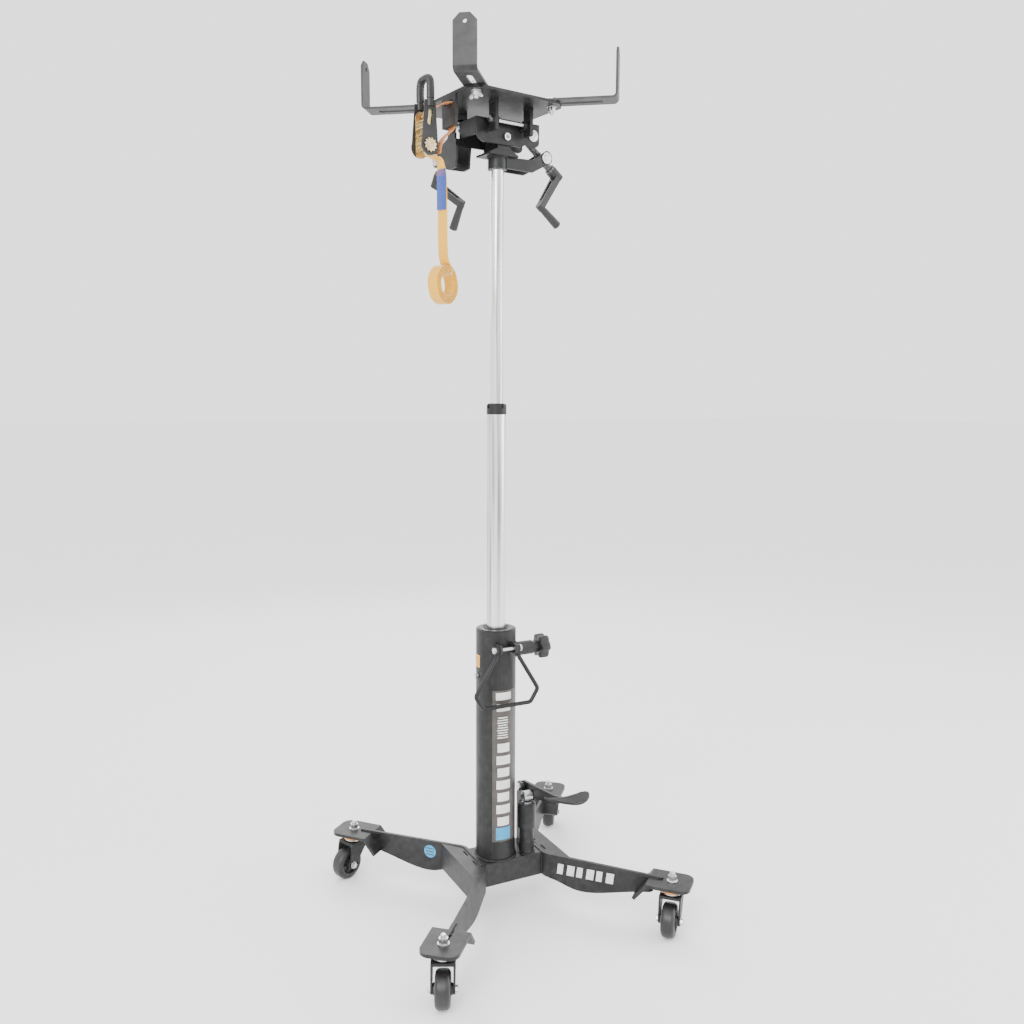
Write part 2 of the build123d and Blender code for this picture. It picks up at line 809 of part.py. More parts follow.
with BuildPart() as pedal_lever:
    with BuildSketch(facing_front(pad_frame)):
        add(dish(4, 0))
    extrude(amount=pad_length / 2, both=True)
    rib_count = 9
    for i in range(rib_count):
        rib_y = (i - rib_count / 2 + 0.5) * pad_length / (rib_count + 2)
        with BuildSketch(facing_front(pad_frame, rib_y)):
            add(dish(3, 1.2))
        extrude(amount=1.5, both=True)
    with BuildSketch(pad_frame.offset(-20)):
        with BuildLine():
            Spline(
                (0, pad_length / 2),
                (pad_width / 2, pad_length * 0.02),
                (0, -pad_length / 2),
                (-pad_width / 2, pad_length * 0.02),
                (0, pad_length / 2),
                tangents=((1, 0), (1, 0)),
            )
        make_face()
    extrude(amount=60, mode=Mode.INTERSECT)
    with BuildSketch(facing_side(base, lever_x)):
        with BuildLine():
            Polyline(
                (pivot_y, pivot_z + 13),
                (-139, 317),
                (pad_y + 34, pad_z - 7),
                (pad_y + 34, pad_z - 18),
                (-148, 297),
                (-52, 274),
                (pump_y - 8, roller_z - 12),
                (pivot_y, pivot_z - 13),
                close=True,
            )
        make_face()
        with Locations((pivot_y, pivot_z)):
            Circle(13)
            Circle(6 + running_fit, mode=Mode.SUBTRACT)
    extrude(amount=lever_thickness)
    with BuildSketch(facing_side(base, lever_x)):
        with Locations((pump_y, roller_z)):
            Circle(roller_pin / 2)
    extrude(amount=-free_gap - roller_length - free_gap - 1)
    with BuildSketch(facing_side(base, lever_x - 2 * free_gap - roller_length)):
        with Locations((pump_y, roller_z)):
            Circle(roller_pin / 2 + 1.5)
    extrude(amount=-3)
save(pedal_lever, "pedal_lever")

with BuildPart() as pedal_roller:
    with BuildSketch(facing_side(base, lever_x - free_gap - roller_length)):
        with Locations((pump_y, roller_z)):
            Circle(roller_diameter / 2)
            Circle(roller_pin / 2 + running_fit, mode=Mode.SUBTRACT)
    extrude(amount=roller_length)
    rims = pedal_roller.edges().filter_by(GeomType.CIRCLE).sort_by(SortBy.LENGTH)[-2:]
    chamfer(rims, length=1.5)
save(pedal_roller, "pedal_roller")

# ================================================================ head: socket and side tilt
block_bottom = socket_bottom + socket_height - 3
block_top = block_bottom + block_height
ear_y = frame_width / 2 - frame_wall - free_gap
wall_y = frame_width / 2
block_x = 0.0


def socket_arm_outline():
    """The plate that carries the side screw's lower trunnion."""
    x, z = side_lower
    with BuildSketch() as outline:
        with BuildLine():
            Polyline((12, block_bottom), (12, socket_bottom + 2), (86, socket_bottom + 2), (x + 14, z - 9))
            ThreePointArc((x + 14, z - 9), (x + 15, z + 8), (x, z + 17))
            Polyline((x, z + 17), (86, block_bottom + 3), (12, block_bottom))
        make_face()
        with Locations((x, z)):
            Circle(trunnion_diameter / 2 + running_fit, mode=Mode.SUBTRACT)
    return outline.sketch


with BuildPart() as head_socket:
    with BuildSketch(level(head, socket_bottom)):
        Circle(socket_diameter / 2)
    extrude(amount=block_bottom - socket_bottom + 4)
    half = block_length / 2
    with BuildSketch(facing_front(head)):
        with BuildLine():
            Polyline(
                (block_x - half, block_bottom),
                (block_x - half, block_bottom + 4),
                (block_x - half + 24, block_top),
                (block_x + half - 24, block_top),
                (block_x + half, block_bottom + 4),
                (block_x + half, block_bottom),
                close=True,
            )
        make_face()
    extrude(amount=block_width / 2, both=True)
    for side in (-1, 1):
        with BuildSketch(facing_front(head, side * (arm_width / 2 - arm_wall / 2))):
            add(socket_arm_outline())
        extrude(amount=arm_wall / 2, both=True)
        with BuildSketch(facing_front(head, side * (ear_y - ear_thickness / 2))):
            with Locations((0, (block_top + tilt_pivot_z) / 2 - 1)):
                Rectangle(36, tilt_pivot_z - block_top + 2)
            with Locations((0, tilt_pivot_z)):
                Circle(18)
        extrude(amount=ear_thickness / 2, both=True)
    with BuildSketch(facing_front(head)):
        with Locations((0, tilt_pivot_z)):
            Circle(tilt_bolt_diameter / 2)
    extrude(amount=wall_y, both=True, mode=Mode.SUBTRACT)
    with BuildSketch(level(head, socket_bottom)):
        Circle(stage_2_diameter / 2 + running_fit)
    extrude(amount=socket_height, mode=Mode.SUBTRACT)
save(head_socket, "head_socket")

with BuildPart() as tilt_bolt:
    with BuildSketch(facing_front(head)):
        with Locations((0, tilt_pivot_z)):
            Circle(tilt_bolt_diameter / 2)
    extrude(amount=wall_y + free_gap, both=True)
    for side in (-1, 1):
        with BuildSketch(facing_front(head, side * (wall_y + free_gap))):
            with Locations((0, tilt_pivot_z)):
                Circle(8)
                if side < 0:
                    RegularPolygon(radius=4.5, side_count=6, mode=Mode.SUBTRACT)
        extrude(amount=-side * 6)
save(tilt_bolt, "tilt_bolt")


def frame_outline():
    """Side wall of the tilt frame, open below the right-hand trunnion."""
    x, z = side_upper
    with BuildSketch() as outline:
        with BuildLine():
            Polyline((frame_left, frame_top), (frame_left, frame_bottom + 24))
            RadiusArc((frame_left, frame_bottom + 24), (frame_left + 24, frame_bottom), -24)
            Polyline((frame_left + 24, frame_bottom), (x - 32, frame_bottom + 2), (x - 18, frame_bottom + 10))
            Polyline((x - 18, frame_bottom + 10), (x - 6, z - 24), (x + 8, z - 24))
            RadiusArc((x + 8, z - 24), (frame_right, z - 14), -12)
            Polyline((frame_right, z - 14), (frame_right, frame_top + 6), (x - 12, frame_top + 6))
            Polyline((x - 12, frame_top + 6), (x - 20, frame_top), (frame_left, frame_top))
        make_face()
        with Locations((x, z)):
            Circle(trunnion_diameter / 2 + running_fit, mode=Mode.SUBTRACT)
        with Locations((0, tilt_pivot_z)):
            Circle(tilt_bolt_diameter / 2 + running_fit, mode=Mode.SUBTRACT)
    return outline.sketch


def rear_arm_outline():
    """The plate of the tilt frame that carries the fore-and-aft screw's lower trunnion."""
    y, z = fore_lower
    with BuildSketch() as outline:
        with BuildLine():
            Polyline((wall_y - 1, frame_bottom + 30), (wall_y - 1, frame_bottom), (28, frame_bottom))
            Polyline((28, frame_bottom), (34, z - 30), (58, z - 32), (y + 6, z - 16))
            ThreePointArc((y + 6, z - 16), (y + 17, z), (y + 4, z + 17))
            Polyline((y + 4, z + 17), (70, frame_bottom + 22), (wall_y - 1, frame_bottom + 30))
        make_face()
        with Locations((y, z)):
            Circle(trunnion_diameter / 2 + running_fit, mode=Mode.SUBTRACT)
    return outline.sketch


with BuildPart() as tilt_frame:
    for side in (-1, 1):
        with BuildSketch(facing_front(head, side * (wall_y - frame_wall / 2))):
            add(frame_outline())
        extrude(amount=frame_wall / 2, both=True)
    with BuildSketch(facing_side(head, frame_left)):
        with Locations((0, (frame_bottom + frame_top) / 2 + 8)):
            Rectangle(frame_width - 2 * frame_wall, frame_top - frame_bottom - 16)
    extrude(amount=frame_wall)
    for side in (-1, 1):
        with BuildSketch(facing_side(head, fore_x + side * (arm_width / 2 - arm_wall / 2))):
            add(rear_arm_outline())
        extrude(amount=arm_wall / 2, both=True)
    with BuildSketch(facing_front(head, wall_y)):
        with Locations((fore_x, frame_bottom + 8)):
            Rectangle(arm_width, 16)
    extrude(amount=arm_wall)
    for lug in (-1, 1):
        with BuildSketch(facing_side(head, lug * (rod_lug_x - rod_lug_wall / 2 - free_gap - 4))):
            with Locations((rod_y + 8, rod_z - 4)):
                Rectangle(20, 16)
            with Locations((rod_y, rod_z)):
                Circle(9)
            with Locations((rod_y, rod_z)):
                Circle(rod_diameter / 2, mode=Mode.SUBTRACT)
        extrude(amount=3.5, both=True)
save(tilt_frame, "tilt_frame")

with BuildPart() as hinge_rod:
    with BuildSketch(facing_side(head)):
        with Locations((rod_y, rod_z)):
            Circle(rod_diameter / 2)
    extrude(amount=rod_lug_x + rod_lug_wall / 2 + free_gap, both=True)
    for side in (-1, 1):
        with BuildSketch(facing_side(head, side * (rod_lug_x + rod_lug_wall / 2 + free_gap))):
            with Locations((rod_y, rod_z)):
                RegularPolygon(radius=8, side_count=6)
        extrude(amount=side * 5)
save(hinge_rod, "hinge_rod")

# ================================================================ head: screws, trunnions and cranks
def screw_frame(upper, lower, side_screw):
    """Frame on a lower trunnion: +Z down the screw, away from the upper one, and +Y level."""
    run = hypot(lower[0] - upper[0], lower[1] - upper[1])
    out = (lower[0] - upper[0]) / run
    down = (lower[1] - upper[1]) / run
    if side_screw:
        at = head.from_local_coords(Vector(lower[0], 0, lower[1]))
        along = head.x_dir * out + Vector(0, 0, down)
        across = head.y_dir
    else:
        at = head.from_local_coords(Vector(fore_x, lower[0], lower[1]))
        along = head.y_dir * out + Vector(0, 0, down)
        across = -head.x_dir
    return Plane(origin=at, x_dir=across.cross(along), z_dir=along)


side_screw = screw_frame(side_upper, side_lower, True)
fore_screw = screw_frame(fore_upper, fore_lower, False)
side_run = hypot(side_lower[0] - side_upper[0], side_lower[1] - side_upper[1])
fore_run = hypot(fore_lower[0] - fore_upper[0], fore_lower[1] - fore_upper[1])
bracket_width = 44.0


def trunnion(frame, run, half, play):
    """Round cross block with a cap at each end, `run` up the screw from the lower trunnion."""
    across = Plane(origin=frame.from_local_coords(Vector(0, 0, -run)), x_dir=frame.x_dir, z_dir=frame.y_dir)
    with BuildPart() as block:
        with BuildSketch(across):
            Circle(trunnion_diameter / 2)
        extrude(amount=half, both=True)
        for side in (-1, 1):
            with BuildSketch(across.offset(side * half)):
                Circle(trunnion_diameter / 2 + 2)
            extrude(amount=side * 3)
        rims = block.edges().filter_by(GeomType.CIRCLE).group_by(SortBy.LENGTH)[-1]
        outer_rims = [e for e in rims if abs(across.to_local_coords(e.center()).Z) > half + 1]
        chamfer(outer_rims, length=1)
        with BuildSketch(frame):
            Circle(screw_diameter / 2 + play)
        extrude(amount=2 * run + 80, both=True, mode=Mode.SUBTRACT)
    return block


side_lower_trunnion = trunnion(side_screw, 0, arm_width / 2 + free_gap, running_fit)
save(side_lower_trunnion, "side_lower_trunnion")
side_upper_trunnion = trunnion(side_screw, side_run, wall_y + free_gap, nut_bore_play)
save(side_upper_trunnion, "side_upper_trunnion")
fore_lower_trunnion = trunnion(fore_screw, 0, arm_width / 2 + free_gap, running_fit)
save(fore_lower_trunnion, "fore_lower_trunnion")
fore_upper_trunnion = trunnion(fore_screw, fore_run, bracket_width / 2 + free_gap, nut_bore_play)
save(fore_upper_trunnion, "fore_upper_trunnion")

hub_start = crank_reach - crank_hub / 2


def tilt_screw(frame, run, beyond):
    """Screw with a thrust collar either side of the lower trunnion and a spigot for the crank."""
    with BuildPart() as screw:
        with BuildSketch(frame.offset(-run - beyond)):
            Circle(screw_diameter / 2)
        extrude(amount=run + beyond + hub_start)
        shoulder = trunnion_diameter / 2 + free_gap
        with BuildSketch(frame.offset(-shoulder)):
            Circle(screw_diameter / 2 + 2)
        extrude(amount=-4)
        with BuildSketch(frame.offset(shoulder)):
            Circle(screw_diameter / 2 + 1.5)
        extrude(amount=hub_start - shoulder - 6)
        with BuildSketch(frame.offset(hub_start - 6)):
            Circle(screw_diameter / 2 + 5)
        extrude(amount=6)
        with BuildSketch(frame.offset(hub_start)):
            Rectangle(9, 9)
        extrude(amount=crank_hub + 3)
        tip = screw.edges().filter_by(GeomType.CIRCLE)
        tip = tip.sort_by_distance(frame.from_local_coords(Vector(0, 0, -run - beyond)))[0]
        chamfer(tip, length=1.5)
    return screw


def crank(frame, turn):
    """Crank with a square hub, a tapered arm of flat section and a round grip."""
    hang = Plane(
        origin=frame.from_local_coords(Vector(0, 0, hub_start)),
        x_dir=frame.x_dir * cos(radians(turn)) + frame.y_dir * sin(radians(turn)),
        z_dir=frame.z_dir,
    )
    with BuildPart() as handle:
        with BuildSketch(hang):
            Circle(13)
        extrude(amount=crank_hub)
        with BuildSketch(hang.offset(crank_hub - 16)):
            with BuildLine():
                Polyline((0, 12), (crank_arm, 8), (crank_arm, -8), (0, -12), close=True)
            make_face()
            with Locations((crank_arm, 0)):
                Circle(9)
        extrude(amount=15)
        with BuildSketch(hang.offset(crank_hub - 12)):
            with BuildLine():
                Polyline((20, 5), (crank_arm - 14, 3.5), (crank_arm - 14, -3.5), (20, -5), close=True)
            make_face()
        extrude(amount=-4, mode=Mode.SUBTRACT)
        with BuildSketch(hang.offset(crank_hub - 2)):
            with Locations((crank_arm, 0)):
                Circle(8)
        extrude(amount=crank_grip, taper=-2)
        tip = handle.edges().filter_by(GeomType.CIRCLE)
        tip = tip.sort_by_distance(hang.from_local_coords(Vector(crank_arm, 0, crank_hub + crank_grip)))[0]
        fillet(tip, radius=3)
        with BuildSketch(hang):
            Rectangle(9, 9, rotation=-turn)
        extrude(amount=crank_hub, mode=Mode.SUBTRACT)
    return handle


side_tilt_screw = tilt_screw(side_screw, side_run, 2 * screw_end)
save(side_tilt_screw, "side_tilt_screw")
fore_tilt_screw = tilt_screw(fore_screw, fore_run, screw_end)
save(fore_tilt_screw, "fore_tilt_screw")
side_crank = crank(side_screw, -9.0)
save(side_crank, "side_crank")
fore_crank = crank(fore_screw, -11.0)
save(fore_crank, "fore_crank")

# ================================================================ saddle
saddle_bottom = saddle_top - saddle_thickness
saddle = Plane(origin=head.from_local_coords(Vector(saddle_x, 0, 0)), x_dir=head.x_dir, z_dir=(0, 0, 1))
diagonals = {"front_left": 225.0, "front_right": 315.0, "rear_left": 135.0, "rear_right": 45.0}
saddle_left = saddle_x - saddle_half

with BuildPart() as saddle_plate:
    with BuildSketch(level(saddle, saddle_bottom)):
        Rectangle(2 * saddle_half, 2 * saddle_half)
    extrude(amount=saddle_thickness)
    chamfer(saddle_plate.edges().filter_by(Axis.Z), length=saddle_corner)
    for lug in (-1, 1):
        with BuildSketch(facing_side(head, lug * rod_lug_x)):
            with Locations((rod_y - 3, (rod_z - rod_lug_drop + saddle_bottom) / 2)):
                Rectangle(rod_lug_width, saddle_bottom - rod_z + rod_lug_drop)
            with Locations((rod_y, rod_z)):
                Circle(rod_diameter / 2 + running_fit, mode=Mode.SUBTRACT)
        extrude(amount=rod_lug_wall / 2, both=True)
    for side in (-1, 1):
        y, z = fore_upper
        with BuildSketch(facing_side(head, fore_x + side * (bracket_width / 2 - arm_wall / 2))):
            with Locations((y, (z + saddle_bottom) / 2)):
                Rectangle(36, saddle_bottom - z)
            with Locations((y, z)):
                Circle(18)
            with Locations((y, z)):
                Circle(trunnion_diameter / 2 + running_fit, mode=Mode.SUBTRACT)
        extrude(amount=arm_wall / 2, both=True)
    with BuildSketch(facing_side(head, saddle_left)):
        with Locations((flange_y, saddle_bottom - flange_drop / 2 + 1)):
            Rectangle(flange_width, flange_drop + 2)
    extrude(amount=saddle_thickness)
    with BuildSketch(facing_side(head, saddle_left)):
        with Locations((flange_y, saddle_bottom - 14)):
            SlotOverall(webbing_width + 12, 9)
    extrude(amount=saddle_thickness, mode=Mode.SUBTRACT)
    with BuildSketch(level(saddle, saddle_bottom)):
        with PolarLocations(corner_bolt_radius, 4, start_angle=45):
            Circle(corner_bolt / 2)
    extrude(amount=saddle_thickness, mode=Mode.SUBTRACT)
save(saddle_plate, "saddle_plate")

foot_gap = 0.3
foot_bottom = saddle_top + foot_gap


def corner_arm(turn, slid_in):
    """Bent flat bar: a slotted foot on the saddle and an upright with a drilled tip."""
    away = head.x_dir.rotate(Axis.Z, turn)
    at = Plane(origin=saddle.origin - away * slid_in, x_dir=away, z_dir=(0, 0, 1))
    outer = upright_radius + arm_plate / 2
    with BuildPart() as arm:
        with BuildSketch(facing_front(at)):
            with BuildLine():
                FilletPolyline(
                    (foot_inner, foot_bottom + arm_plate / 2),
                    (upright_radius, foot_bottom + arm_plate / 2),
                    (upright_radius, foot_bottom + upright_height),
                    radius=9,
                )
            trace(line_width=arm_plate)
        extrude(amount=arm_bar / 2, both=True)
        tips = arm.edges().filter_by(lambda e: e.center().Z > foot_bottom + 1 and e.length < arm_plate + 0.1)
        tips = tips.group_by(Axis.Z)[-1]
        chamfer(tips, length=14)
        with BuildSketch(level(at, foot_bottom)):
            with Locations(((slot_inner + slot_outer) / 2, 0)):
                SlotOverall(slot_outer - slot_inner + corner_bolt, corner_bolt + 4)
        extrude(amount=arm_plate, mode=Mode.SUBTRACT)
        with BuildSketch(facing_side(at, outer)):
            with Locations((0, foot_bottom + upright_height - 16)):
                Circle(tip_hole / 2)
        extrude(amount=-arm_plate, mode=Mode.SUBTRACT)
    return arm


for name, turn in diagonals.items():
    save(corner_arm(turn, slid_in[name]), f"corner_arm_{name}")

with BuildPart() as wing_bolts:
    for turn in diagonals.values():
        at = Plane(origin=saddle.origin, x_dir=head.x_dir.rotate(Axis.Z, turn), z_dir=(0, 0, 1))
        with BuildSketch(level(at, saddle_bottom - 17)):
            with Locations((corner_bolt_radius, 0)):
                Circle(corner_bolt / 2)
        extrude(amount=17 + saddle_thickness + foot_gap + arm_plate + free_gap)
        with BuildSketch(level(at, foot_bottom + arm_plate + free_gap)):
            with Locations((corner_bolt_radius, 0)):
                Circle(11)
        extrude(amount=4, taper=25)
        with BuildSketch(level(at, saddle_bottom)):
            with Locations((corner_bolt_radius, 0)):
                Circle(10)
        extrude(amount=-10, taper=8)
        with BuildSketch(facing_side(at, corner_bolt_radius)):
            for side in (-1, 1):
                with BuildLine():
                    Polyline(
                        (side * 5, saddle_bottom - 9),
                        (side * 9, saddle_bottom - 2),
                        (side * 21, saddle_bottom - 16),
                        (side * 16, saddle_bottom - 20),
                        close=True,
                    )
                make_face()
        extrude(amount=1.7, both=True)
save(wing_bolts, "wing_bolts")

# ================================================================ ratchet strap
ratchet = Plane(origin=head.from_local_coords(Vector(ratchet_x, ratchet_y, 0)), x_dir=head.x_dir, z_dir=(0, 0, 1))
ratchet_top = ratchet_bottom + ratchet_height
spool_z = ratchet_bottom + 22
side_plate_y = ratchet_width / 2

with BuildPart() as ratchet_frame:
    for side in (-1, 1):
        with BuildSketch(facing_front(ratchet, side * (side_plate_y - 7 - ratchet_side / 2))):
            with Locations((0, ratchet_bottom + ratchet_height / 2 - 8)):
                SlotOverall(ratchet_height - 16, ratchet_depth - 8, rotation=90)
            with Locations((0, spool_z)):
                Circle(spool_diameter / 2 + running_fit, mode=Mode.SUBTRACT)
        extrude(amount=ratchet_side / 2, both=True)
    with BuildSketch(facing_front(ratchet)):
        with Locations((6, ratchet_top - 26)):
            Circle(4)
        with Locations((-6, spool_z + 38)):
            Rectangle(8, 3)
    extrude(amount=side_plate_y - 7, both=True)
save(ratchet_frame, "ratchet_frame")

with BuildPart() as ratchet_handle:
    handle_y = side_plate_y - 3 - ratchet_side / 2
    for side in (-1, 1):
        with BuildSketch(facing_front(ratchet, side * handle_y)):
            with Locations((0, spool_z)):
                Circle(21)
            with BuildLine():
                Polyline((-20, spool_z), (-12, ratchet_top), (14, ratchet_top), (20, spool_z), close=True)
            make_face()
            with Locations((0, spool_z)):
                Circle(spool_diameter / 2 + running_fit, mode=Mode.SUBTRACT)
            with Locations((1, ratchet_top - 34)):
                SlotOverall(34, 11, rotation=82, mode=Mode.SUBTRACT)
        extrude(amount=ratchet_side / 2, both=True)
    with BuildLine(facing_side(ratchet, 2)) as loop:
        FilletPolyline(
            (-handle_y, ratchet_top - 12),
            (-handle_y, grip_top - 9),
            (handle_y, grip_top - 9),
            (handle_y, ratchet_top - 12),
            radius=14,
        )
    with BuildSketch(Plane(origin=loop.line @ 0, z_dir=loop.line % 0)):
        Ellipse(8, 5.5)
    sweep(path=loop.line)
save(ratchet_handle, "ratchet_handle")

with BuildPart() as ratchet_spool:
    with BuildSketch(facing_front(ratchet)):
        with Locations((0, spool_z)):
            Circle(spool_diameter / 2)
            Rectangle(2.6, spool_diameter + 2, mode=Mode.SUBTRACT)
    extrude(amount=side_plate_y - 7 - ratchet_side - free_gap, both=True)
    reach = side_plate_y + 1
    inside = side_plate_y - 7 - ratchet_side - free_gap
    for side in (-1, 1):
        with BuildSketch(facing_front(ratchet, side * inside)):
            with Locations((0, spool_z)):
                Circle(spool_diameter / 2)
        extrude(amount=-side * (reach - inside))
save(ratchet_spool, "ratchet_spool")

strap = Plane(origin=head.from_local_coords(Vector(strap_x, strap_y, 0)), x_dir=head.x_dir, z_dir=(0, 0, 1))
hanging = Plane(origin=strap.origin, x_dir=head.x_dir.rotate(Axis.Z, strap_turn), z_dir=(0, 0, 1))
roll_top = roll_z + roll_outer / 2
behind_flange = saddle_left + saddle_thickness + 2.5 + webbing_thickness / 2 - strap_x
before_flange = saddle_left - 4 - strap_x
slot_z = saddle_bottom - 14
with BuildPart() as strap_tail:
    with BuildSketch(facing_front(strap)):
        with BuildLine():
            FilletPolyline(
                (0, strap_bend_z - 6),
                (0, strap_bend_z),
                (behind_flange, strap_bend_z + 19),
                (behind_flange, slot_z),
                (before_flange, slot_z),
                (before_flange - 20, slot_z - 6),
                radius=4,
            )
        trace(line_width=webbing_thickness)
    extrude(amount=webbing_width / 2, both=True)
    with BuildSketch(facing_front(hanging)):
        with Locations((0, (roll_top + strap_bend_z) / 2)):
            Rectangle(webbing_thickness, strap_bend_z - roll_top)
    extrude(amount=webbing_width / 2, both=True)
save(strap_tail, "strap_tail")

with BuildPart() as strap_roll:
    with BuildSketch(facing_front(hanging)):
        with Locations((0, roll_z)):
            Circle(roll_outer / 2)
            Circle(roll_inner / 2, mode=Mode.SUBTRACT)
    extrude(amount=webbing_width / 2, both=True)
save(strap_roll, "strap_roll")
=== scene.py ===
"""Looks of a telescopic transmission jack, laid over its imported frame."""
import logging
from dataclasses import dataclass, field
from enum import Enum
from math import cos, pi, radians, sin, tau
from typing import Callable, Iterable, Sequence

import bmesh
import bpy
from mathutils import Matrix, Vector


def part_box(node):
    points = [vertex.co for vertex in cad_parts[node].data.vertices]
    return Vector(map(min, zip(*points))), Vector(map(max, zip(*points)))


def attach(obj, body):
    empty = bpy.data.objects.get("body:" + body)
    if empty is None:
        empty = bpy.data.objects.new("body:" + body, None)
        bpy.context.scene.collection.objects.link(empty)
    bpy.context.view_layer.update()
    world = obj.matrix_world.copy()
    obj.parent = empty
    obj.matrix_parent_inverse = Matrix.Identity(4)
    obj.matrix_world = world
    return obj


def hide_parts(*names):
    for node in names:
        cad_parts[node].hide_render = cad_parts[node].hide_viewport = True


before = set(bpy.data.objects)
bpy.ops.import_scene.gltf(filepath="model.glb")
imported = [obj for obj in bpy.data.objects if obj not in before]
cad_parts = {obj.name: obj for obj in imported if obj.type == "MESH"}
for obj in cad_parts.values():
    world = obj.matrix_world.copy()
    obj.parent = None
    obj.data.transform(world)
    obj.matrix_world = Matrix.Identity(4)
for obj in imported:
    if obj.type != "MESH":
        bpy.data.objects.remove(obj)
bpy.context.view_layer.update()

log = logging.getLogger("transmission_jack")
Point = tuple[float, float, float]
Colour = tuple[float, float, float, float]

HEAD_YAW = radians(8.0)


class Corner(Enum):
    """The four corners of the base, each with the way its caster trails, in degrees."""

    FRONT_LEFT = ("front_left", -116.0)
    FRONT_RIGHT = ("front_right", -136.0)
    REAR_LEFT = ("rear_left", -155.0)
    REAR_RIGHT = ("rear_right", 58.0)


class Hold(Enum):
    """How a piece of webbing is held."""

    HUNG = "hung"
    FOLDED = "folded"


# ------------------------------------------------------------------ places
def head_point(x: float, y: float, z: float) -> Vector:
    """Turn a place in the head's own axes into the row frame.

    Args:
        x: Metres to the head's right of the ram.
        y: Metres behind the ram.
        z: Height above the floor.

    Returns:
        The same place in the row frame.
    """
    c, s = cos(HEAD_YAW), sin(HEAD_YAW)
    return Vector((x * c - y * s, x * s + y * c, z))


def along(direction: Sequence[float]) -> Matrix:
    """Rotation that turns +Z into a direction.

    Args:
        direction: The way +Z should point.

    Returns:
        A 4 by 4 rotation.
    """
    return Vector(direction).to_track_quat("Z", "Y").to_matrix().to_4x4()


# ------------------------------------------------------------------ finishes
class NodeBench:
    """A material's node tree with short ways to add and join its nodes."""

    def __init__(self, name: str) -> None:
        """Start an empty material with a Principled shader.

        Args:
            name: Name of the material.
        """
        self.material = bpy.data.materials.new(name)
        self.material.use_nodes = True
        self.tree = self.material.node_tree
        self.shader = self.tree.nodes["Principled BSDF"]
        self.place = self.tree.nodes.new("ShaderNodeTexCoord").outputs["Object"]

    def join(self, start, end) -> None:
        """Link one socket to another."""
        self.tree.links.new(start, end)

    def stretched(self, scale: Point):
        """Object coordinates multiplied by a scale on each axis.

        Args:
            scale: Factors along X, Y and Z.

        Returns:
            The vector socket.
        """
        node = self.tree.nodes.new("ShaderNodeMapping")
        node.inputs["Scale"].default_value = scale
        self.join(self.place, node.inputs["Vector"])
        return node.outputs["Vector"]

    def noise(self, scale: float, detail: float = 4.0, vector=None):
        """Noise texture.

        Args:
            scale: How many lumps to a metre.
            detail: Number of finer layers.
            vector: Coordinates to use in place of the object's own.

        Returns:
            The factor socket.
        """
        node = self.tree.nodes.new("ShaderNodeTexNoise")
        node.inputs["Scale"].default_value = scale
        node.inputs["Detail"].default_value = detail
        self.join(vector or self.place, node.inputs["Vector"])
        return node.outputs["Fac"]

    def cells(self, scale: float, vector=None):
        """Voronoi distance texture of that many cells to a metre."""
        node = self.tree.nodes.new("ShaderNodeTexVoronoi")
        node.inputs["Scale"].default_value = scale
        self.join(vector or self.place, node.inputs["Vector"])
        return node.outputs["Distance"]

    def ramp(self, factor, stops: Sequence[tuple[float, Colour]]):
        """Colour ramp.

        Args:
            factor: Socket that drives the ramp.
            stops: Places from 0 to 1 and the colour at each.

        Returns:
            The colour socket.
        """
        node = self.tree.nodes.new("ShaderNodeValToRGB")
        while len(node.color_ramp.elements) < len(stops):
            node.color_ramp.elements.new(0.5)
        for element, (at, colour) in zip(node.color_ramp.elements, stops):
            element.position = at
            element.color = colour
        self.join(factor, node.inputs["Fac"])
        return node.outputs["Color"]

    def spread(self, factor, low: float, high: float):
        """Map a factor onto the range from low to high."""
        node = self.tree.nodes.new("ShaderNodeMapRange")
        node.inputs["To Min"].default_value = low
        node.inputs["To Max"].default_value = high
        self.join(factor, node.inputs["Value"])
        return node.outputs["Result"]

    def math(self, kind: str, a, b=None, value: float = 0.0):
        """Maths node of a kind.

        Args:
            kind: Blender's name for the operation.
            a: First socket.
            b: Second socket, or nothing for a plain number.
            value: The plain number.

        Returns:
            The value socket.
        """
        node = self.tree.nodes.new("ShaderNodeMath")
        node.operation = kind
        self.join(a, node.inputs[0])
        if b is None:
            node.inputs[1].default_value = value
        else:
            self.join(b, node.inputs[1])
        return node.outputs["Value"]

    def mix(self, factor, a, b):
        """Mix two colour sockets by a factor."""
        node = self.tree.nodes.new("ShaderNodeMix")
        node.data_type = "RGBA"
        self.join(factor, node.inputs[0])
        self.join(a, node.inputs[6])
        self.join(b, node.inputs[7])
        return node.outputs[2]

    def relief(self, height, distance: float, strength: float = 0.5) -> None:
        """Bump the surface.

        Args:
            height: Socket with the height, from 0 to 1.
            distance: Depth of the relief in metres.
            strength: How much of it shows.
        """
        node = self.tree.nodes.new("ShaderNodeBump")
        node.inputs["Strength"].default_value = strength
        node.inputs["Distance"].default_value = distance
        self.join(height, node.inputs["Height"])
        self.join(node.outputs["Normal"], self.shader.inputs["Normal"])

    def edges(self, low: float, high: float):
        """How sharp the surface is at each point, from 0 on a flat to 1 on a convex edge."""
        node = self.tree.nodes.new("ShaderNodeNewGeometry")
        reach = self.tree.nodes.new("ShaderNodeMapRange")
        reach.inputs["From Min"].default_value = low
        reach.inputs["From Max"].default_value = high
        self.join(node.outputs["Pointiness"], reach.inputs["Value"])
        return reach.outputs["Result"]

    def set(self, socket: str, value) -> None:
        """Set a constant on the shader's own socket."""
        self.shader.inputs[socket].default_value = value


def grey(value: float, warm: float = 0.0) -> Colour:
    """Grey of a brightness, made a little warmer or cooler."""
    return (value * (1 + warm), value, value * (1 - warm), 1.0)


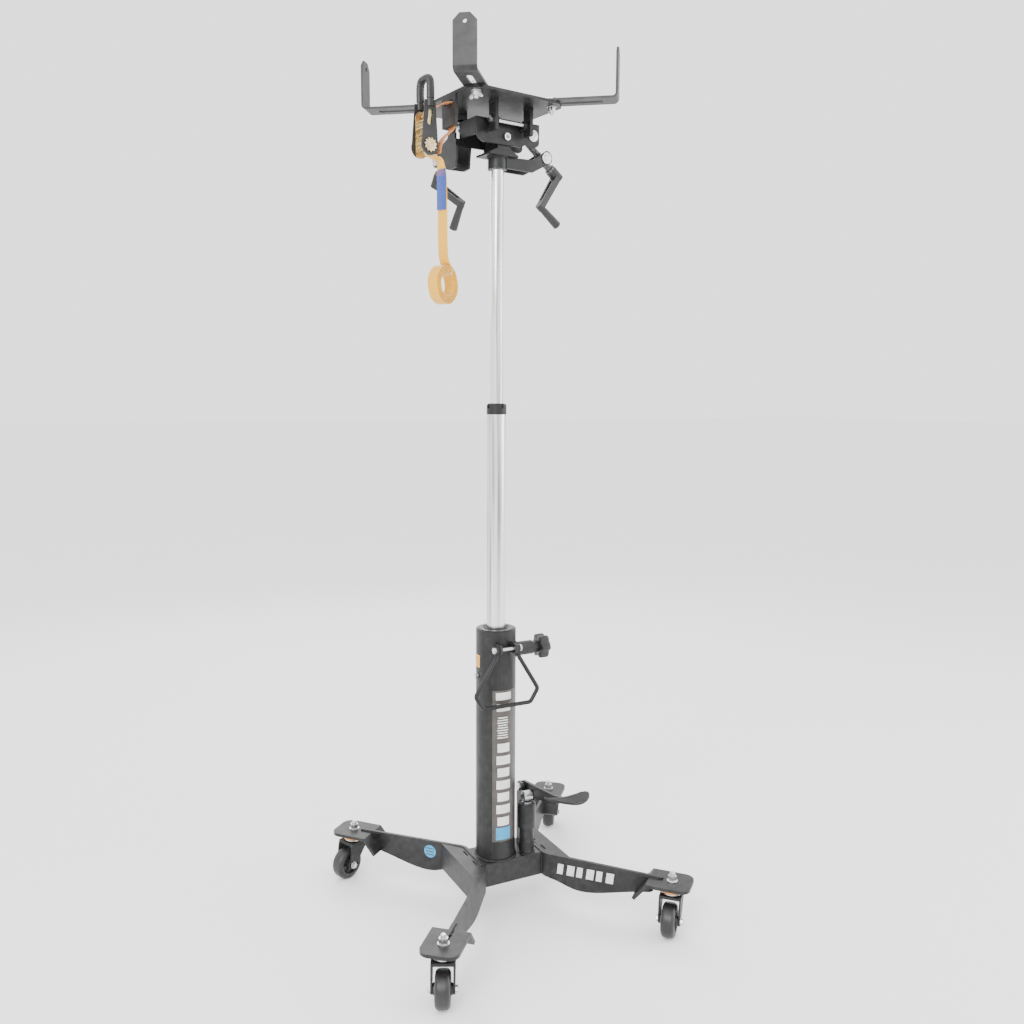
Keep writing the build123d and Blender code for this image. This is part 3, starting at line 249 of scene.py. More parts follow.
@dataclass(frozen=True)
class PowderCoat:
    """Satin powder coat with its fine orange peel, dust in patches and rubbed edges."""

    name: str = "satin_black_powder"
    dark: float = 0.0045
    light: float = 0.0095
    roughness: tuple[float, float] = (0.34, 0.52)
    peel: float = 900.0

    def make(self) -> bpy.types.Material:
        """Build the material."""
        b = NodeBench(self.name)
        patches = b.noise(22.0, 6.0)
        body = b.ramp(patches, [(0.30, grey(self.dark)), (0.72, grey(self.light, -0.03))])
        rubbed = b.math("MULTIPLY", b.edges(0.53, 0.62), b.noise(60.0, 3.0))
        worn = b.ramp(rubbed, [(0.25, grey(0.0)), (0.7, grey(0.32))])
        bright = b.ramp(patches, [(0.0, grey(0.055)), (1.0, grey(0.065))])
        b.join(b.mix(worn, body, bright), b.shader.inputs["Base Color"])
        b.join(b.spread(b.noise(24.0, 5.0), *self.roughness), b.shader.inputs["Roughness"])
        b.relief(b.math("ADD", b.noise(self.peel, 2.0), b.noise(self.peel / 4, 2.0)), 0.00012, 0.35)
        b.set("Specular IOR Level", 0.32)
        b.set("Coat Weight", 0.05)
        b.set("Coat Roughness", 0.35)
        return b.material


@dataclass(frozen=True)
class HardChrome:
    """Ground hard chrome whose base colour carries painted reflections: dark and near-white bands drawn out
    along the rod, with faint turning marks in roughness and bump.
    """

    name: str = "ground_hard_chrome"
    # tone is the middle grey of the painted reflection bands; their painted dark is 0.34 of it and their
    # painted highlight is grey 0.92.
    tone: float = 0.74
    painted_reflection_streaks: float = 120.0

    def make(self) -> bpy.types.Material:
        """Build the material."""
        b = NodeBench(self.name)
        painted_reflection_streak = b.noise(1.0, 6.0, b.stretched((self.painted_reflection_streaks, self.painted_reflection_streaks, 2.2)))
        rings = b.noise(1.0, 2.0, b.stretched((6.0, 6.0, 2600.0)))
        # Painted reflection and highlight: the streak noise darkens and lightens the base colour as if the
        # rod mirrored dark and bright surroundings. The same streaks also vary the roughness.
        tone = b.ramp(
            painted_reflection_streak, [(0.30, grey(self.tone * 0.34)), (0.50, grey(self.tone, -0.01)), (0.75, grey(0.92))]
        )
        b.join(tone, b.shader.inputs["Base Color"])
        rough = b.math("ADD", b.spread(painted_reflection_streak, 0.10, 0.30), b.spread(rings, 0.0, 0.06))
        b.join(rough, b.shader.inputs["Roughness"])
        b.relief(rings, 0.00002, 0.25)
        b.set("Metallic", 1.0)
        return b.material


@dataclass(frozen=True)
class Plated:
    """Zinc-plated steel: fine spangle, brushed haze and darker creases."""

    name: str
    base: Colour
    dull: Colour
    roughness: tuple[float, float] = (0.22, 0.42)
    grain: float = 420.0

    def make(self) -> bpy.types.Material:
        """Build the material."""
        b = NodeBench(self.name)
        haze = b.math("MULTIPLY", b.noise(90.0, 5.0), b.cells(self.grain))
        b.join(b.ramp(haze, [(0.05, self.base), (0.4, self.dull)]), b.shader.inputs["Base Color"])
        b.join(b.spread(b.noise(160.0, 4.0), *self.roughness), b.shader.inputs["Roughness"])
        b.relief(b.noise(700.0, 3.0), 0.00006, 0.3)
        b.set("Metallic", 1.0)
        return b.material


@dataclass(frozen=True)
class Moulded:
    """Moulded plastic or rubber with spark-eroded texture and scuffs."""

    name: str
    base: Colour
    scuffed: Colour
    roughness: tuple[float, float] = (0.42, 0.62)
    texture: float = 1400.0
    depth: float = 0.00010

    def make(self) -> bpy.types.Material:
        """Build the material."""
        b = NodeBench(self.name)
        scuffs = b.noise(30.0, 8.0)
        b.join(b.ramp(scuffs, [(0.42, self.base), (0.80, self.scuffed)]), b.shader.inputs["Base Color"])
        b.join(b.spread(b.noise(55.0, 5.0), *self.roughness), b.shader.inputs["Roughness"])
        b.relief(b.cells(self.texture), self.depth, 0.4)
        b.set("Specular IOR Level", 0.45)
        return b.material


@dataclass(frozen=True)
class Webbing:
    """Woven polyester webbing: ribs across, yarns along, and sun-faded patches."""

    name: str
    base: Colour
    shade: Colour
    ribs: float = 1500.0

    def make(self) -> bpy.types.Material:
        """Build the material."""
        b = NodeBench(self.name)
        run = b.tree.nodes.new("ShaderNodeUVMap")
        run.uv_map = "webbing"
        split = b.tree.nodes.new("ShaderNodeSeparateXYZ")
        b.join(run.outputs["UV"], split.inputs["Vector"])
        across = b.math("SINE", b.math("MULTIPLY", split.outputs["X"], value=tau * 11))
        lengthways = b.math("SINE", b.math("MULTIPLY", split.outputs["Y"], value=self.ribs))
        weave = b.spread(b.math("MULTIPLY", across, lengthways), 0.0, 1.0)
        ribs = b.math("ADD", weave, b.spread(lengthways, -0.4, 0.5))
        tone = b.ramp(ribs, [(0.15, self.shade), (0.75, self.base)])
        faded = b.ramp(b.noise(40.0, 4.0), [(0.35, self.base), (0.75, self.shade)])
        b.join(b.mix(b.spread(b.noise(18.0, 3.0), 0.1, 0.45), tone, faded), b.shader.inputs["Base Color"])
        b.join(b.spread(ribs, 0.72, 0.55), b.shader.inputs["Roughness"])
        b.relief(ribs, 0.00045, 0.9)
        b.set("Sheen Weight", 0.35)
        b.set("Sheen Roughness", 0.45)
        return b.material


@dataclass(frozen=True)
class Vinyl:
    """Printed vinyl label with a faint ripple and dust."""

    name: str
    base: Colour
    aged: Colour
    roughness: tuple[float, float] = (0.32, 0.48)

    def make(self) -> bpy.types.Material:
        """Build the material."""
        b = NodeBench(self.name)
        tone = b.ramp(b.noise(45.0, 6.0), [(0.35, self.base), (0.8, self.aged)])
        b.join(tone, b.shader.inputs["Base Color"])
        b.join(b.spread(b.noise(120.0, 3.0), *self.roughness), b.shader.inputs["Roughness"])
        b.relief(b.noise(260.0, 2.0), 0.00008, 0.25)
        return b.material


@dataclass
class Finishes:
    """Every finish on the jack, made once and handed out by name."""

    made: dict[str, bpy.types.Material] = field(default_factory=dict)

    def __post_init__(self) -> None:
        """Make all the finishes."""
        kinds = {
            "coat": PowderCoat(),
            "cast": PowderCoat("rough_black_coat", 0.006, 0.013, (0.42, 0.60), 420.0),
            "chrome": HardChrome(),
            "zinc": Plated("bright_zinc", grey(0.72, -0.01), grey(0.46)),
            "yellow_zinc": Plated("yellow_zinc", (0.74, 0.62, 0.36, 1), (0.52, 0.40, 0.20, 1)),
            "oiled": Plated("oiled_steel", grey(0.16), grey(0.07), (0.30, 0.50)),
            "nylon": Moulded("wheel_nylon", grey(0.012), grey(0.035), (0.30, 0.50), 900.0, 0.00006),
            "plastic": Moulded("textured_plastic", grey(0.011), grey(0.022), (0.36, 0.52)),
            "rubber": Moulded("pedal_rubber", grey(0.014), grey(0.030), (0.55, 0.75), 700.0),
            "seal": Moulded("orange_seal", (0.80, 0.28, 0.004, 1), (0.55, 0.14, 0.003, 1), (0.35, 0.5)),
            "webbing": Webbing("orange_webbing", (0.88, 0.50, 0.012, 1), (0.72, 0.34, 0.006, 1)),
            "anchor": Webbing("deep_orange_webbing", (0.70, 0.25, 0.004, 1), (0.45, 0.12, 0.002, 1)),
            "tag": Webbing("blue_tag", (0.022, 0.085, 0.42, 1), (0.012, 0.055, 0.30, 1), 5200.0),
            "panel": Vinyl("label_panel", (0.050, 0.043, 0.040, 1), (0.075, 0.066, 0.060, 1)),
            "print": Vinyl("white_print", (0.74, 0.74, 0.73, 1), (0.58, 0.58, 0.57, 1)),
            "cyan": Vinyl("cyan_print", (0.02, 0.30, 0.56, 1), (0.02, 0.22, 0.42, 1)),
            "amber": Vinyl("amber_label", (0.85, 0.42, 0.04, 1), (0.62, 0.28, 0.03, 1)),
        }
        self.made = {key: kind.make() for key, kind in kinds.items()}

    def __getitem__(self, key: str) -> bpy.types.Material:
        """Finish of that name."""
        return self.made[key]

    def dress(self, key: str, *nodes: str) -> None:
        """Give CAD nodes a finish.

        Args:
            key: Name of the finish.
            nodes: Names of the CAD nodes.
        """
        for name in nodes:
            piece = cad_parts[name]
            for place in piece.material_slots:
                place.material = self.made[key]
            if not piece.material_slots:
                piece.data.materials.append(self.made[key])


# ------------------------------------------------------------------ mesh making
class Shop:
    """Makes meshes and sends each finished piece to the body that it rides on."""

    def __init__(self, finishes: Finishes) -> None:
        """Keep the finishes.

        Args:
            finishes: The jack's finishes.
        """
        self.finishes = finishes
        self.count = 0

    def piece(
        self,
        name: str,
        verts: Iterable[Sequence[float]],
        faces: Iterable[Sequence[int]],
        finish: str,
        body: str,
        slot: str,
        smooth: bool = True,
        bevel: float = 0.0,
        crease: float = 35.0,
    ) -> bpy.types.Object:
        """Make one mesh piece.

        Args:
            name: Name of the piece.
            verts: Places of the vertices, in the row frame.
            faces: Vertex numbers of each face.
            finish: Name of the finish.
            body: Body that the piece rides on.
            slot: Name of a material slot; not used.
            smooth: Whether curved faces are shaded smooth.
            bevel: Width of the rounding on edges, in metres.
            crease: Angle in degrees over which an edge stays sharp.

        Returns:
            The new object.
        """
        mesh = bpy.data.meshes.new(name)
        mesh.from_pydata([tuple(v) for v in verts], [], [tuple(f) for f in faces])
        work = bmesh.new()
        work.from_mesh(mesh)
        bmesh.ops.remove_doubles(work, verts=work.verts, dist=1e-6)
        bmesh.ops.recalc_face_normals(work, faces=work.faces)
        if bevel:
            sharp = [
                e for e in work.edges
                if len(e.link_faces) == 2 and e.calc_face_angle(0) > radians(crease)
            ]
            bmesh.ops.bevel(
                work, geom=sharp, offset=bevel, segments=2, profile=0.7, affect="EDGES", clamp_overlap=True
            )
        for face in work.faces:
            face.smooth = smooth
        work.to_mesh(mesh)
        work.free()
        mesh.set_sharp_from_angle(angle=radians(crease))
        piece = bpy.data.objects.new(name, mesh)
        bpy.context.collection.objects.link(piece)
        mesh.materials.append(self.finishes[finish])
        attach(piece, body)
        self.count += 1
        log.info("%s: %d faces, rides on %s", name, len(mesh.polygons), body)
        return piece

    @staticmethod
    def lathe(
        profile: Sequence[tuple[float, float]], turn: Matrix, steps: int = 56
    ) -> tuple[list[Vector], list[tuple[int, ...]]]:
        """Turn a closed outline of radius and height about an axis.

        Args:
            profile: Outline points, radius first.
            turn: Place of the axis, which is the matrix's +Z.
            steps: Number of steps round.

        Returns:
            Vertices and faces.
        """
        verts = [
            turn @ Vector((r * cos(tau * i / steps), r * sin(tau * i / steps), z))
            for i in range(steps) for r, z in profile
        ]
        n = len(profile)
        faces = [
            (i * n + j, i * n + (j + 1) % n, (i + 1) % steps * n + (j + 1) % n, (i + 1) % steps * n + j)
            for i in range(steps) for j in range(n)
        ]
        return verts, faces

    @staticmethod
    def prism(
        outline: Sequence[tuple[float, float]], low: float, high: float, turn: Matrix
    ) -> tuple[list[Vector], list[tuple[int, ...]]]:
        """Extrude a flat outline.

        Args:
            outline: Corners of the outline, in order.
            low: Start along the matrix's +Z.
            high: End along it.
            turn: Place of the outline.

        Returns:
            Vertices and faces.
        """
        n = len(outline)
        verts = [turn @ Vector((x, y, z)) for z in (low, high) for x, y in outline]
        faces: list[tuple[int, ...]] = [(i, (i + 1) % n, n + (i + 1) % n, n + i) for i in range(n)]
        faces += [tuple(range(n))[::-1], tuple(range(n, 2 * n))]
        return verts, faces

    @staticmethod
    def tube(
        path: Sequence[Vector],
        radius: float | Callable[[float], float],
        sides: int = 12,
        closed: bool = False,
    ) -> tuple[list[Vector], list[tuple[int, ...]]]:
        """Round bar along a path.

        Args:
            path: Points of the middle line.
            radius: Radius, or a function of the share of the path gone by.
            sides: Number of sides.
            closed: Whether the path joins up.

        Returns:
            Vertices and faces.
        """
        n = len(path)
        verts: list[Vector] = []
        up = None
        for i, at in enumerate(path):
            before = path[(i - 1) % n] if closed or i else at
            after = path[(i + 1) % n] if closed or i < n - 1 else at
            way = (after - before).normalized()
            if up is None:
                up = way.orthogonal().normalized()
            up = (up - way * up.dot(way)).normalized()
            side = way.cross(up)
            r = radius(i / max(1, n - 1)) if callable(radius) else radius
            verts += [
                at + (up * cos(tau * k / sides) + side * sin(tau * k / sides)) * r for k in range(sides)
            ]
        faces: list[tuple[int, ...]] = [
            (i * sides + k, i * sides + (k + 1) % sides, j * sides + (k + 1) % sides, j * sides + k)
            for i, j in ((i, (i + 1) % n) for i in range(n if closed else n - 1)) for k in range(sides)
        ]
        if not closed:
            faces += [tuple(range(sides))[::-1], tuple(range((n - 1) * sides, n * sides))]
        return verts, faces

    @staticmethod
    def merge(
        parts: Iterable[tuple[list[Vector], list[tuple[int, ...]]]],
    ) -> tuple[list[Vector], list[tuple[int, ...]]]:
        """Put several shapes in one.

        Args:
            parts: Vertices and faces of each shape.

        Returns:
            Vertices and faces of all.
        """
        verts: list[Vector] = []
        faces: list[tuple[int, ...]] = []
        for v, f in parts:
            faces += [tuple(i + len(verts) for i in face) for face in f]
            verts += v
        return verts, faces

    @staticmethod
    def bead(start: Vector, end: Vector, radius: float = 0.0028, pitch: float = 0.0035) -> list[Vector]:
        """Middle line of a weld bead, with the slight waver of a hand-laid run."""
        run = end - start
        count = max(3, int(run.length / pitch))
        side = run.normalized().orthogonal()
        return [start + run * (i / count) + side * (0.12 * radius * sin(i * 2.1)) for i in range(count + 1)]


def smooth_path(points: Sequence[Point], per: int = 14) -> list[Vector]:
    """Catmull-Rom line through points.

    Args:
        points: Points that the line passes through.
        per: Steps between two points.

    Returns:
        The line's points.
    """
    p = [Vector(q) for q in points]
    p = [p[0] * 2 - p[1], *p, p[-1] * 2 - p[-2]]
    line = []
    for a, b, c, d in zip(p, p[1:], p[2:], p[3:]):
        for k in range(per):
            t = k / per
            line.append(
                0.5 * (
                    2 * b + (c - a) * t + (2 * a - 5 * b + 4 * c - d) * t**2
                    + (3 * b - a - 3 * c + d) * t**3
                )
            )
    return [*line, p[-2]]


# ------------------------------------------------------------------ casters
@dataclass
class Casters:
    """Four swivel casters with their toe-guard plates, seals and studs."""

    shop: Shop
    stem_x: float = 0.294
    stem_y: float = 0.301
    base_x: float = 0.026
    trail: float = 0.028
    radius: float = 0.040
    width: float = 0.033
    hub_half: float = 0.0216
    plate_top: float = 0.123
    stud: float = 0.006
    ribs: int = 6

    def stem(self, corner: Corner) -> Vector:
        """Place on the floor under a caster's stem."""
        name = corner.value[0]
        sx = -1 if name.endswith("left") else 1
        sy = -1 if name.startswith("front") else 1
        return Vector((self.base_x + sx * self.stem_x, sy * self.stem_y, 0.0))

    def axle(self, corner: Corner) -> Matrix:
        """Place of a wheel's axle, its +Z along the axle."""
        turn = radians(corner.value[1])
        at = self.stem(corner) + Vector((cos(turn) * self.trail, sin(turn) * self.trail, self.radius))
        return Matrix.Translation(at) @ along((-sin(turn), cos(turn), 0.0))

    def wheel(self, corner: Corner) -> None:
        """Build a wheel: rounded tyre, dished web with ribs, and hub."""
        name = corner.value[0]
        at, half, rim = self.axle(corner), self.width / 2, self.radius
        tread = [(rim - 0.0095 * (1 - cos(a)), half - 0.0095 + 0.0095 * sin(a)) for a in
                 (pi / 2 * k / 6 for k in range(7))]
        outline = [
            (0.0043, -self.hub_half), (0.0105, -self.hub_half), (0.0125, -self.hub_half + 0.0015),
            (0.0135, -half + 0.006), (0.0240, -half + 0.0075), (0.0255, -half + 0.0012), (0.0275, -half),
        ]
        outline += [(r, -z) for r, z in tread[::-1]] + tread
        outline += [(r, -z) for r, z in outline[:7]][::-1]
        shape = [self.shop.lathe(outline, at, 64)]
        for k in range(self.ribs):
            for side in (-1, 1):
                turn = at @ Matrix.Rotation(tau * k / self.ribs, 4, "Z")
                face = half - 0.0018
                rib = [(0.0125, -0.0011), (0.0245, -0.0009), (0.0245, 0.0009), (0.0125, 0.0011)]
                low, high = sorted((side * (face - 0.006), side * face))
                shape.append(self.shop.prism(rib, low, high, turn))
        piece = self.shop.piece(
            f"wheel_{name}", *self.shop.merge(shape), "nylon", f"wheel_{name}", "wheel_nylon"
        )
        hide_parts(f"caster_wheel_{name}")

    def fork_details(self, corner: Corner) -> None:
        """Ball race and axle washers of one fork."""
        name = corner.value[0]
        at = Matrix.Translation(self.stem(corner))
        race = [(0.0215, 0.0980), (0.0262, 0.0980), (0.0275, 0.0992), (0.0275, 0.1015), (0.0262, 0.1024),
                (0.0215, 0.1024)]
        self.shop.piece(
            f"swivel_race_{name}", *self.shop.lathe(race, at), "zinc", f"fork_{name}", "bright_zinc"
        )
        washers = []
        for side in (-1, 1):
            place = self.axle(corner) @ Matrix.Translation((0, 0, side * 0.02545))
            ring = [(0.0042, -0.0006), (0.0088, -0.0006), (0.0088, 0.0006), (0.0042, 0.0006)]
            washers.append(self.shop.lathe(ring, place, 32))
        self.shop.piece(
            f"axle_washers_{name}", *self.shop.merge(washers), "zinc", f"fork_{name}", "bright_zinc"
        )

    def studs(self) -> None:
        """Threads and lock washers on the four studs above the caster plates."""
        shape = []
        for corner in Corner:
            at = self.stem(corner)
            z = self.plate_top + 0.0125
            turns = 5
            steps = 20
            path = [
                at + Vector((
                    (self.stud + 0.0001) * cos(tau * i / steps),
                    (self.stud + 0.0001) * sin(tau * i / steps),
                    z + 0.00145 * i / steps,
                ))
                for i in range(turns * steps)
            ]
            shape.append(self.shop.tube(path, 0.00055, 6))
            ring = [(0.0063, 0), (0.0098, 0), (0.0098, 0.0014), (0.0063, 0.0014)]
            place = Matrix.Translation(at + Vector((0, 0, self.plate_top + 0.0120)))
            shape.append(self.shop.lathe(ring, place, 32))
        self.shop.piece("stud_threads", *self.shop.merge(shape), "zinc", "base", "bright_zinc")

    def build(self) -> None:
        """Build every caster."""
        for corner in Corner:
            name = corner.value[0]
            self.wheel(corner)
            self.fork_details(corner)
            self.shop.finishes.dress("cast", f"caster_fork_{name}")
            self.shop.finishes.dress("zinc", f"caster_axle_{name}")
        self.studs()
        self.shop.finishes.dress("zinc", "caster_stems")
        self.shop.finishes.dress("seal", "swivel_seals")


# ------------------------------------------------------------------ base
@dataclass
class Base:
    """Welded base: box, two bent leg plates, braces and caster plates."""

    shop: Shop
    leg_thick: float = 0.008
    bend_y: float = 0.060
    side_x: float = 0.082
    base_x: float = 0.026
    reach_x: float = 0.212
    reach_y: float = 0.241
    top: float = 0.131
    box_half: float = 0.050

    def leg_frame(self, sx: int, sy: int, share: float, z: float, inner: bool = False) -> Matrix:
        """Place on the outer face of a leg, its +X outward along the leg and its +Y up.

        Args:
            sx: -1 for a left leg and 1 for a right one.
            sy: -1 for a front leg and 1 for a rear one.
            share: How far along the leg, from 0 to 1.
            z: Height.
            inner: Whether to take the face towards the other legs instead.

        Returns:
            The place, with +Z out of the leg's face.
        """
        way = Vector((sx * self.reach_x, sy * self.reach_y, 0)).normalized()
        run = Vector((sx * self.reach_x, sy * self.reach_y, 0)).length
        out = Vector((-way.y, way.x, 0)).normalized()
        if (out.y * sy < 0) != inner:
            out = -out
        at = Vector((self.base_x + sx * self.side_x, sy * self.bend_y, z)) + way * run * share
        at += out * (self.leg_thick / 2)
        across = way if (way.cross(Vector((0, 0, 1))).dot(out) > 0) else -way
        return Matrix.Translation(at) @ Matrix((
            (across.x, 0, out.x, 0), (across.y, 0, out.y, 0), (across.z, 1, out.z, 0), (0, 0, 0, 1)
        ))

    def welds(self) -> None:
        """Fillet welds where the legs, braces and caster plates meet."""
        lines = []
        for sx in (-1, 1):
            x = self.base_x + sx * (self.side_x - self.leg_thick / 2)
            for sy in (-1, 1):
                y = sy * (self.box_half + 0.001)
                lines.append((Vector((x, y, 0.076)), Vector((x, y, self.top - 0.004))))
            outer = self.base_x + sx * (self.side_x + self.leg_thick / 2 + 0.0005)
            lines.append((Vector((outer, -0.050, self.top)), Vector((outer, 0.050, self.top))))
            for sy in (-1, 1):
                for side in (-1, 1):
                    low = self.leg_frame(sx, sy, 0.76, 0.1235) @ Vector((0, 0, 0))
                    high = self.leg_frame(sx, sy, 0.90, 0.1235) @ Vector((0, 0, 0))
                    shift = self.leg_frame(sx, sy, 0.8, 0.1235).to_3x3() @ Vector((0, 0, 1))
                    off = shift * (0 if side > 0 else -self.leg_thick)
                    lines.append((low + off, high + off))
        beads = [self.shop.tube(self.shop.bead(a, b), self.ripple(0.0026), 8) for a, b in lines]
        self.shop.piece("base_welds", *self.shop.merge(beads), "cast", "base", "powder_black")

    @staticmethod
    def ripple(radius: float) -> Callable[[float], float]:
        """Radius of a weld bead that swells and narrows along its run."""
        return lambda share: radius * (1 + 0.16 * sin(share * 97.0))

    def leg_marks(self) -> None:
        """Plain printed marks on two legs: a round badge and slanted bars."""
        badge_at = self.leg_frame(-1, 1, 0.30, 0.103, inner=True)
        badge = self.shop.prism(
            [(0.0165 * cos(tau * k / 40), 0.0165 * sin(tau * k / 40)) for k in range(40)],
            0.0, 0.0004, badge_at,
        )
        self.shop.piece("leg_badge", *badge, "cyan", "base", "powder_black")
        waves = []
        for k in range(3):
            y = -0.008 + 0.008 * k
            waves.append(self.shop.prism(
                [(-0.011, y - 0.0013), (0.011, y - 0.0013), (0.011, y + 0.0013), (-0.011, y + 0.0013)],
                0.0004, 0.0006, badge_at,
            ))
        self.shop.piece("leg_badge_bars", *self.shop.merge(waves), "panel", "base", "powder_black")
        bars = []
        place = self.leg_frame(1, -1, 0.335, 0.100)
        for k in range(6):
            x = -0.074 + 0.0250 * k
            wide = 0.0185 if k % 2 else 0.0145
            bars.append(self.shop.prism(
                [(x, -0.013), (x + wide, -0.013), (x + wide + 0.003, 0.013), (x + 0.003, 0.013)],
                0.0, 0.0004, place,
            ))
        self.shop.piece("leg_bars", *self.shop.merge(bars), "print", "base", "powder_black")

    def build(self) -> None:
        """Dress the plates and add the welds and marks."""
        self.shop.finishes.dress(
            "coat", "base_box", "leg_plate_left", "leg_plate_right", "leg_braces", "caster_plates"
        )
        self.welds()
        self.leg_marks()


# ------------------------------------------------------------------ mast
@dataclass
class Mast:
    """Cylinder, two-stage ram, carrying handle, release valve and labels."""

    shop: Shop
    radius: float = 0.0485
    bottom: float = 0.131
    top: float = 0.705
    valve: Point = (0.0, -0.014, 0.650)
    knob_start: float = 0.1055
    panel_turn: float = -83.0
    panel_low: float = 0.181
    panel_high: float = 0.561
    print_turn: float = -92.0
    print_lift: float = 0.0006
    bar_low: float = 0.222
    bar_pitch: float = 0.0310
    small_low: float = 0.443
    small_pitch: float = 0.0062
    side_turn: float = -187.0
    side_low: float = 0.613

    def wrapped(
        self, turn: float, width: float, low: float, high: float, lift: float, steps: int = 18
    ) -> tuple[list[Vector], list[tuple[int, ...]]]:
        """Thin label wrapped on the tube.

        Args:
            turn: Angle of its middle about the tube, in degrees from +X.
            width: Its width round the tube.
            low: Height of its lower edge.
            high: Height of its upper edge.
            lift: How far its face stands off the tube.
            steps: Number of steps round.

        Returns:
            Vertices and faces.
        """
        start = radians(turn) - width / self.radius / 2
        verts, faces = [], []
        for i in range(steps + 1):
            a = start + width / self.radius * i / steps
            for r in (self.radius - 0.0006, self.radius + lift):
                for z in (low, high):
                    verts.append(Vector((r * cos(a), r * sin(a), z)))
        for i in range(steps):
            a, b = 4 * i, 4 * (i + 1)
            faces += [(a + 2, b + 2, b + 3, a + 3), (a, a + 1, b + 1, b), (a, b, b + 2, a + 2),
                      (a + 1, a + 3, b + 3, b + 1)]
        last = 4 * steps
        faces += [(0, 2, 3, 1), (last, last + 1, last + 3, last + 2)]
        return verts, faces

    def labels(self) -> None:
        """Long front label with plain printed bars, its badge, and the small amber one."""
        panel = self.wrapped(self.panel_turn, 0.072, self.panel_low, self.panel_high, 0.0003, 28)
        self.shop.piece("front_label", *panel, "panel", "base", "powder_black")
        turn, lift, prints = self.print_turn, self.print_lift, []
        for k in range(7):
            z = self.bar_low + self.bar_pitch * k
            prints.append(self.wrapped(turn, 0.036 if k % 2 else 0.031, z, z + 0.0215, lift, 10))
        for k in range(9):
            z = self.small_low + self.small_pitch * k
            prints.append(self.wrapped(turn - 3, 0.028 - 0.002 * (k % 3), z, z + 0.0026, lift, 8))
        for z, width in ((0.510, 0.036), (0.538, 0.040)):
            prints.append(self.wrapped(turn, width, z, z + 0.018, lift, 10))
        self.shop.piece("front_label_print", *self.shop.merge(prints), "print", "base", "powder_black")
        badge = [self.wrapped(turn, 0.038, 0.186, 0.217, lift, 10)]
        self.shop.piece("front_label_badge", *self.shop.merge(badge), "cyan", "base", "powder_black")
        turn, low = self.side_turn, self.side_low
        amber = self.wrapped(turn, 0.030, low, low + 0.030, 0.0003, 10)
        self.shop.piece("side_label", *amber, "amber", "base", "powder_black")
        lines = []
        for k in range(4):
            z = low + 0.006 + 0.006 * k
            lines.append(self.wrapped(turn, 0.022, z, z + 0.0015, 0.0005, 6))
        self.shop.piece("side_label_print", *self.shop.merge(lines), "panel", "base", "powder_black")

    def rings(self) -> None:
        """Weld at the tube's foot, gland spanner ring and wiper seals of both stages."""
        foot = [Vector((0.0495 * cos(tau * k / 120), 0.0495 * sin(tau * k / 120), self.bottom + 0.0012))
                for k in range(120)]
        self.shop.piece(
            "tube_weld", *self.shop.tube(foot, Base.ripple(0.0030), 8, True), "cast", "base", "powder_black"
        )
        lip = [(0.0222, self.top), (0.0285, self.top), (0.0285, self.top + 0.0014),
               (0.0262, self.top + 0.0026), (0.0232, self.top + 0.0032), (0.0222, self.top + 0.0024)]
        self.shop.piece("gland_wiper", *self.shop.lathe(lip, Matrix()), "rubber", "base", "powder_black")
        z = self.top
        ring = [(0.0330, z), (0.0435, z), (0.0440, z + 0.0012), (0.0325, z + 0.0012)]
        self.shop.piece("gland_ring", *self.shop.lathe(ring, Matrix(), 72), "coat", "base", "powder_black")
        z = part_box("stage_1_collar")[1][2]
        small = [(0.0152, z), (0.0200, z), (0.0200, z + 0.0010), (0.0170, z + 0.0018), (0.0152, z + 0.0014)]
        self.shop.piece(
            "collar_wiper", *self.shop.lathe(small, Matrix()), "rubber", "ram_lower", "powder_black"
        )

    def knob(self) -> None:
        """Release knob: a lobed grip with a raised boss and a plain stem."""
        x, y, z = self.knob_start, self.valve[1], self.valve[2]
        at = Matrix.Translation((x, y, z)) @ along((1, 0, 0))
        lobes, steps = 6, 96
        verts, faces = [], []
        shelf = [(0.86, 0.0), (0.97, 0.0014), (1.0, 0.005), (1.0, 0.019), (0.96, 0.0235), (0.86, 0.0255),
                 (0.55, 0.0258)]
        for i in range(steps):
            a = tau * i / steps
            r = 0.0273 + 0.0035 * cos(lobes * a)
            verts += [at @ Vector((r * k * cos(a), r * k * sin(a), h)) for k, h in shelf]
        n = len(shelf)
        faces = [
            (i * n + j, i * n + j + 1, (i + 1) % steps * n + j + 1, (i + 1) % steps * n + j)
            for i in range(steps) for j in range(n - 1)
        ]
        faces += [tuple(i * n for i in range(steps))[::-1], tuple(i * n + n - 1 for i in range(steps))]
        crown = [(0.0, 0.0250), (0.0118, 0.0250), (0.0110, 0.0318), (0.0095, 0.0336), (0.0, 0.0338)]
        boss = self.shop.lathe(crown, at)
        stem = self.shop.lathe([(0.0, -0.036), (0.005, -0.036), (0.005, 0.002), (0.0, 0.002)], at, 28)
        piece = self.shop.piece(
            "knob", *self.shop.merge([(verts, faces), boss, stem]), "plastic", "release_knob", "black_plastic"
        )
        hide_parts("release_knob")

    def valve_trim(self) -> None:
        """Weld round the valve body and welds on the handle's lugs."""
        y, z = self.valve[1], self.valve[2]
        ring = []
        for k in range(72):
            a = tau * k / 72
            at_y, at_z = y + 0.0178 * cos(a), z + 0.0178 * sin(a)
            ring.append(Vector(((0.0485**2 - at_y**2) ** 0.5 + 0.0006, at_y, at_z)))
        self.shop.piece(
            "valve_weld", *self.shop.tube(ring, Base.ripple(0.0022), 8, True), "cast", "base", "powder_black"
        )
        beads = []
        for side in (-1, 1):
            for edge in (-0.003, 0.003):
                x = side * 0.020 + edge
                back = -((0.0485**2 - x**2) ** 0.5) - 0.0004
                beads.append(self.shop.tube(
                    self.shop.bead(Vector((x, back, 0.6555)), Vector((x, back, 0.6765))), 0.0018, 8
                ))
        self.shop.piece("lug_welds", *self.shop.merge(beads), "cast", "base", "powder_black")

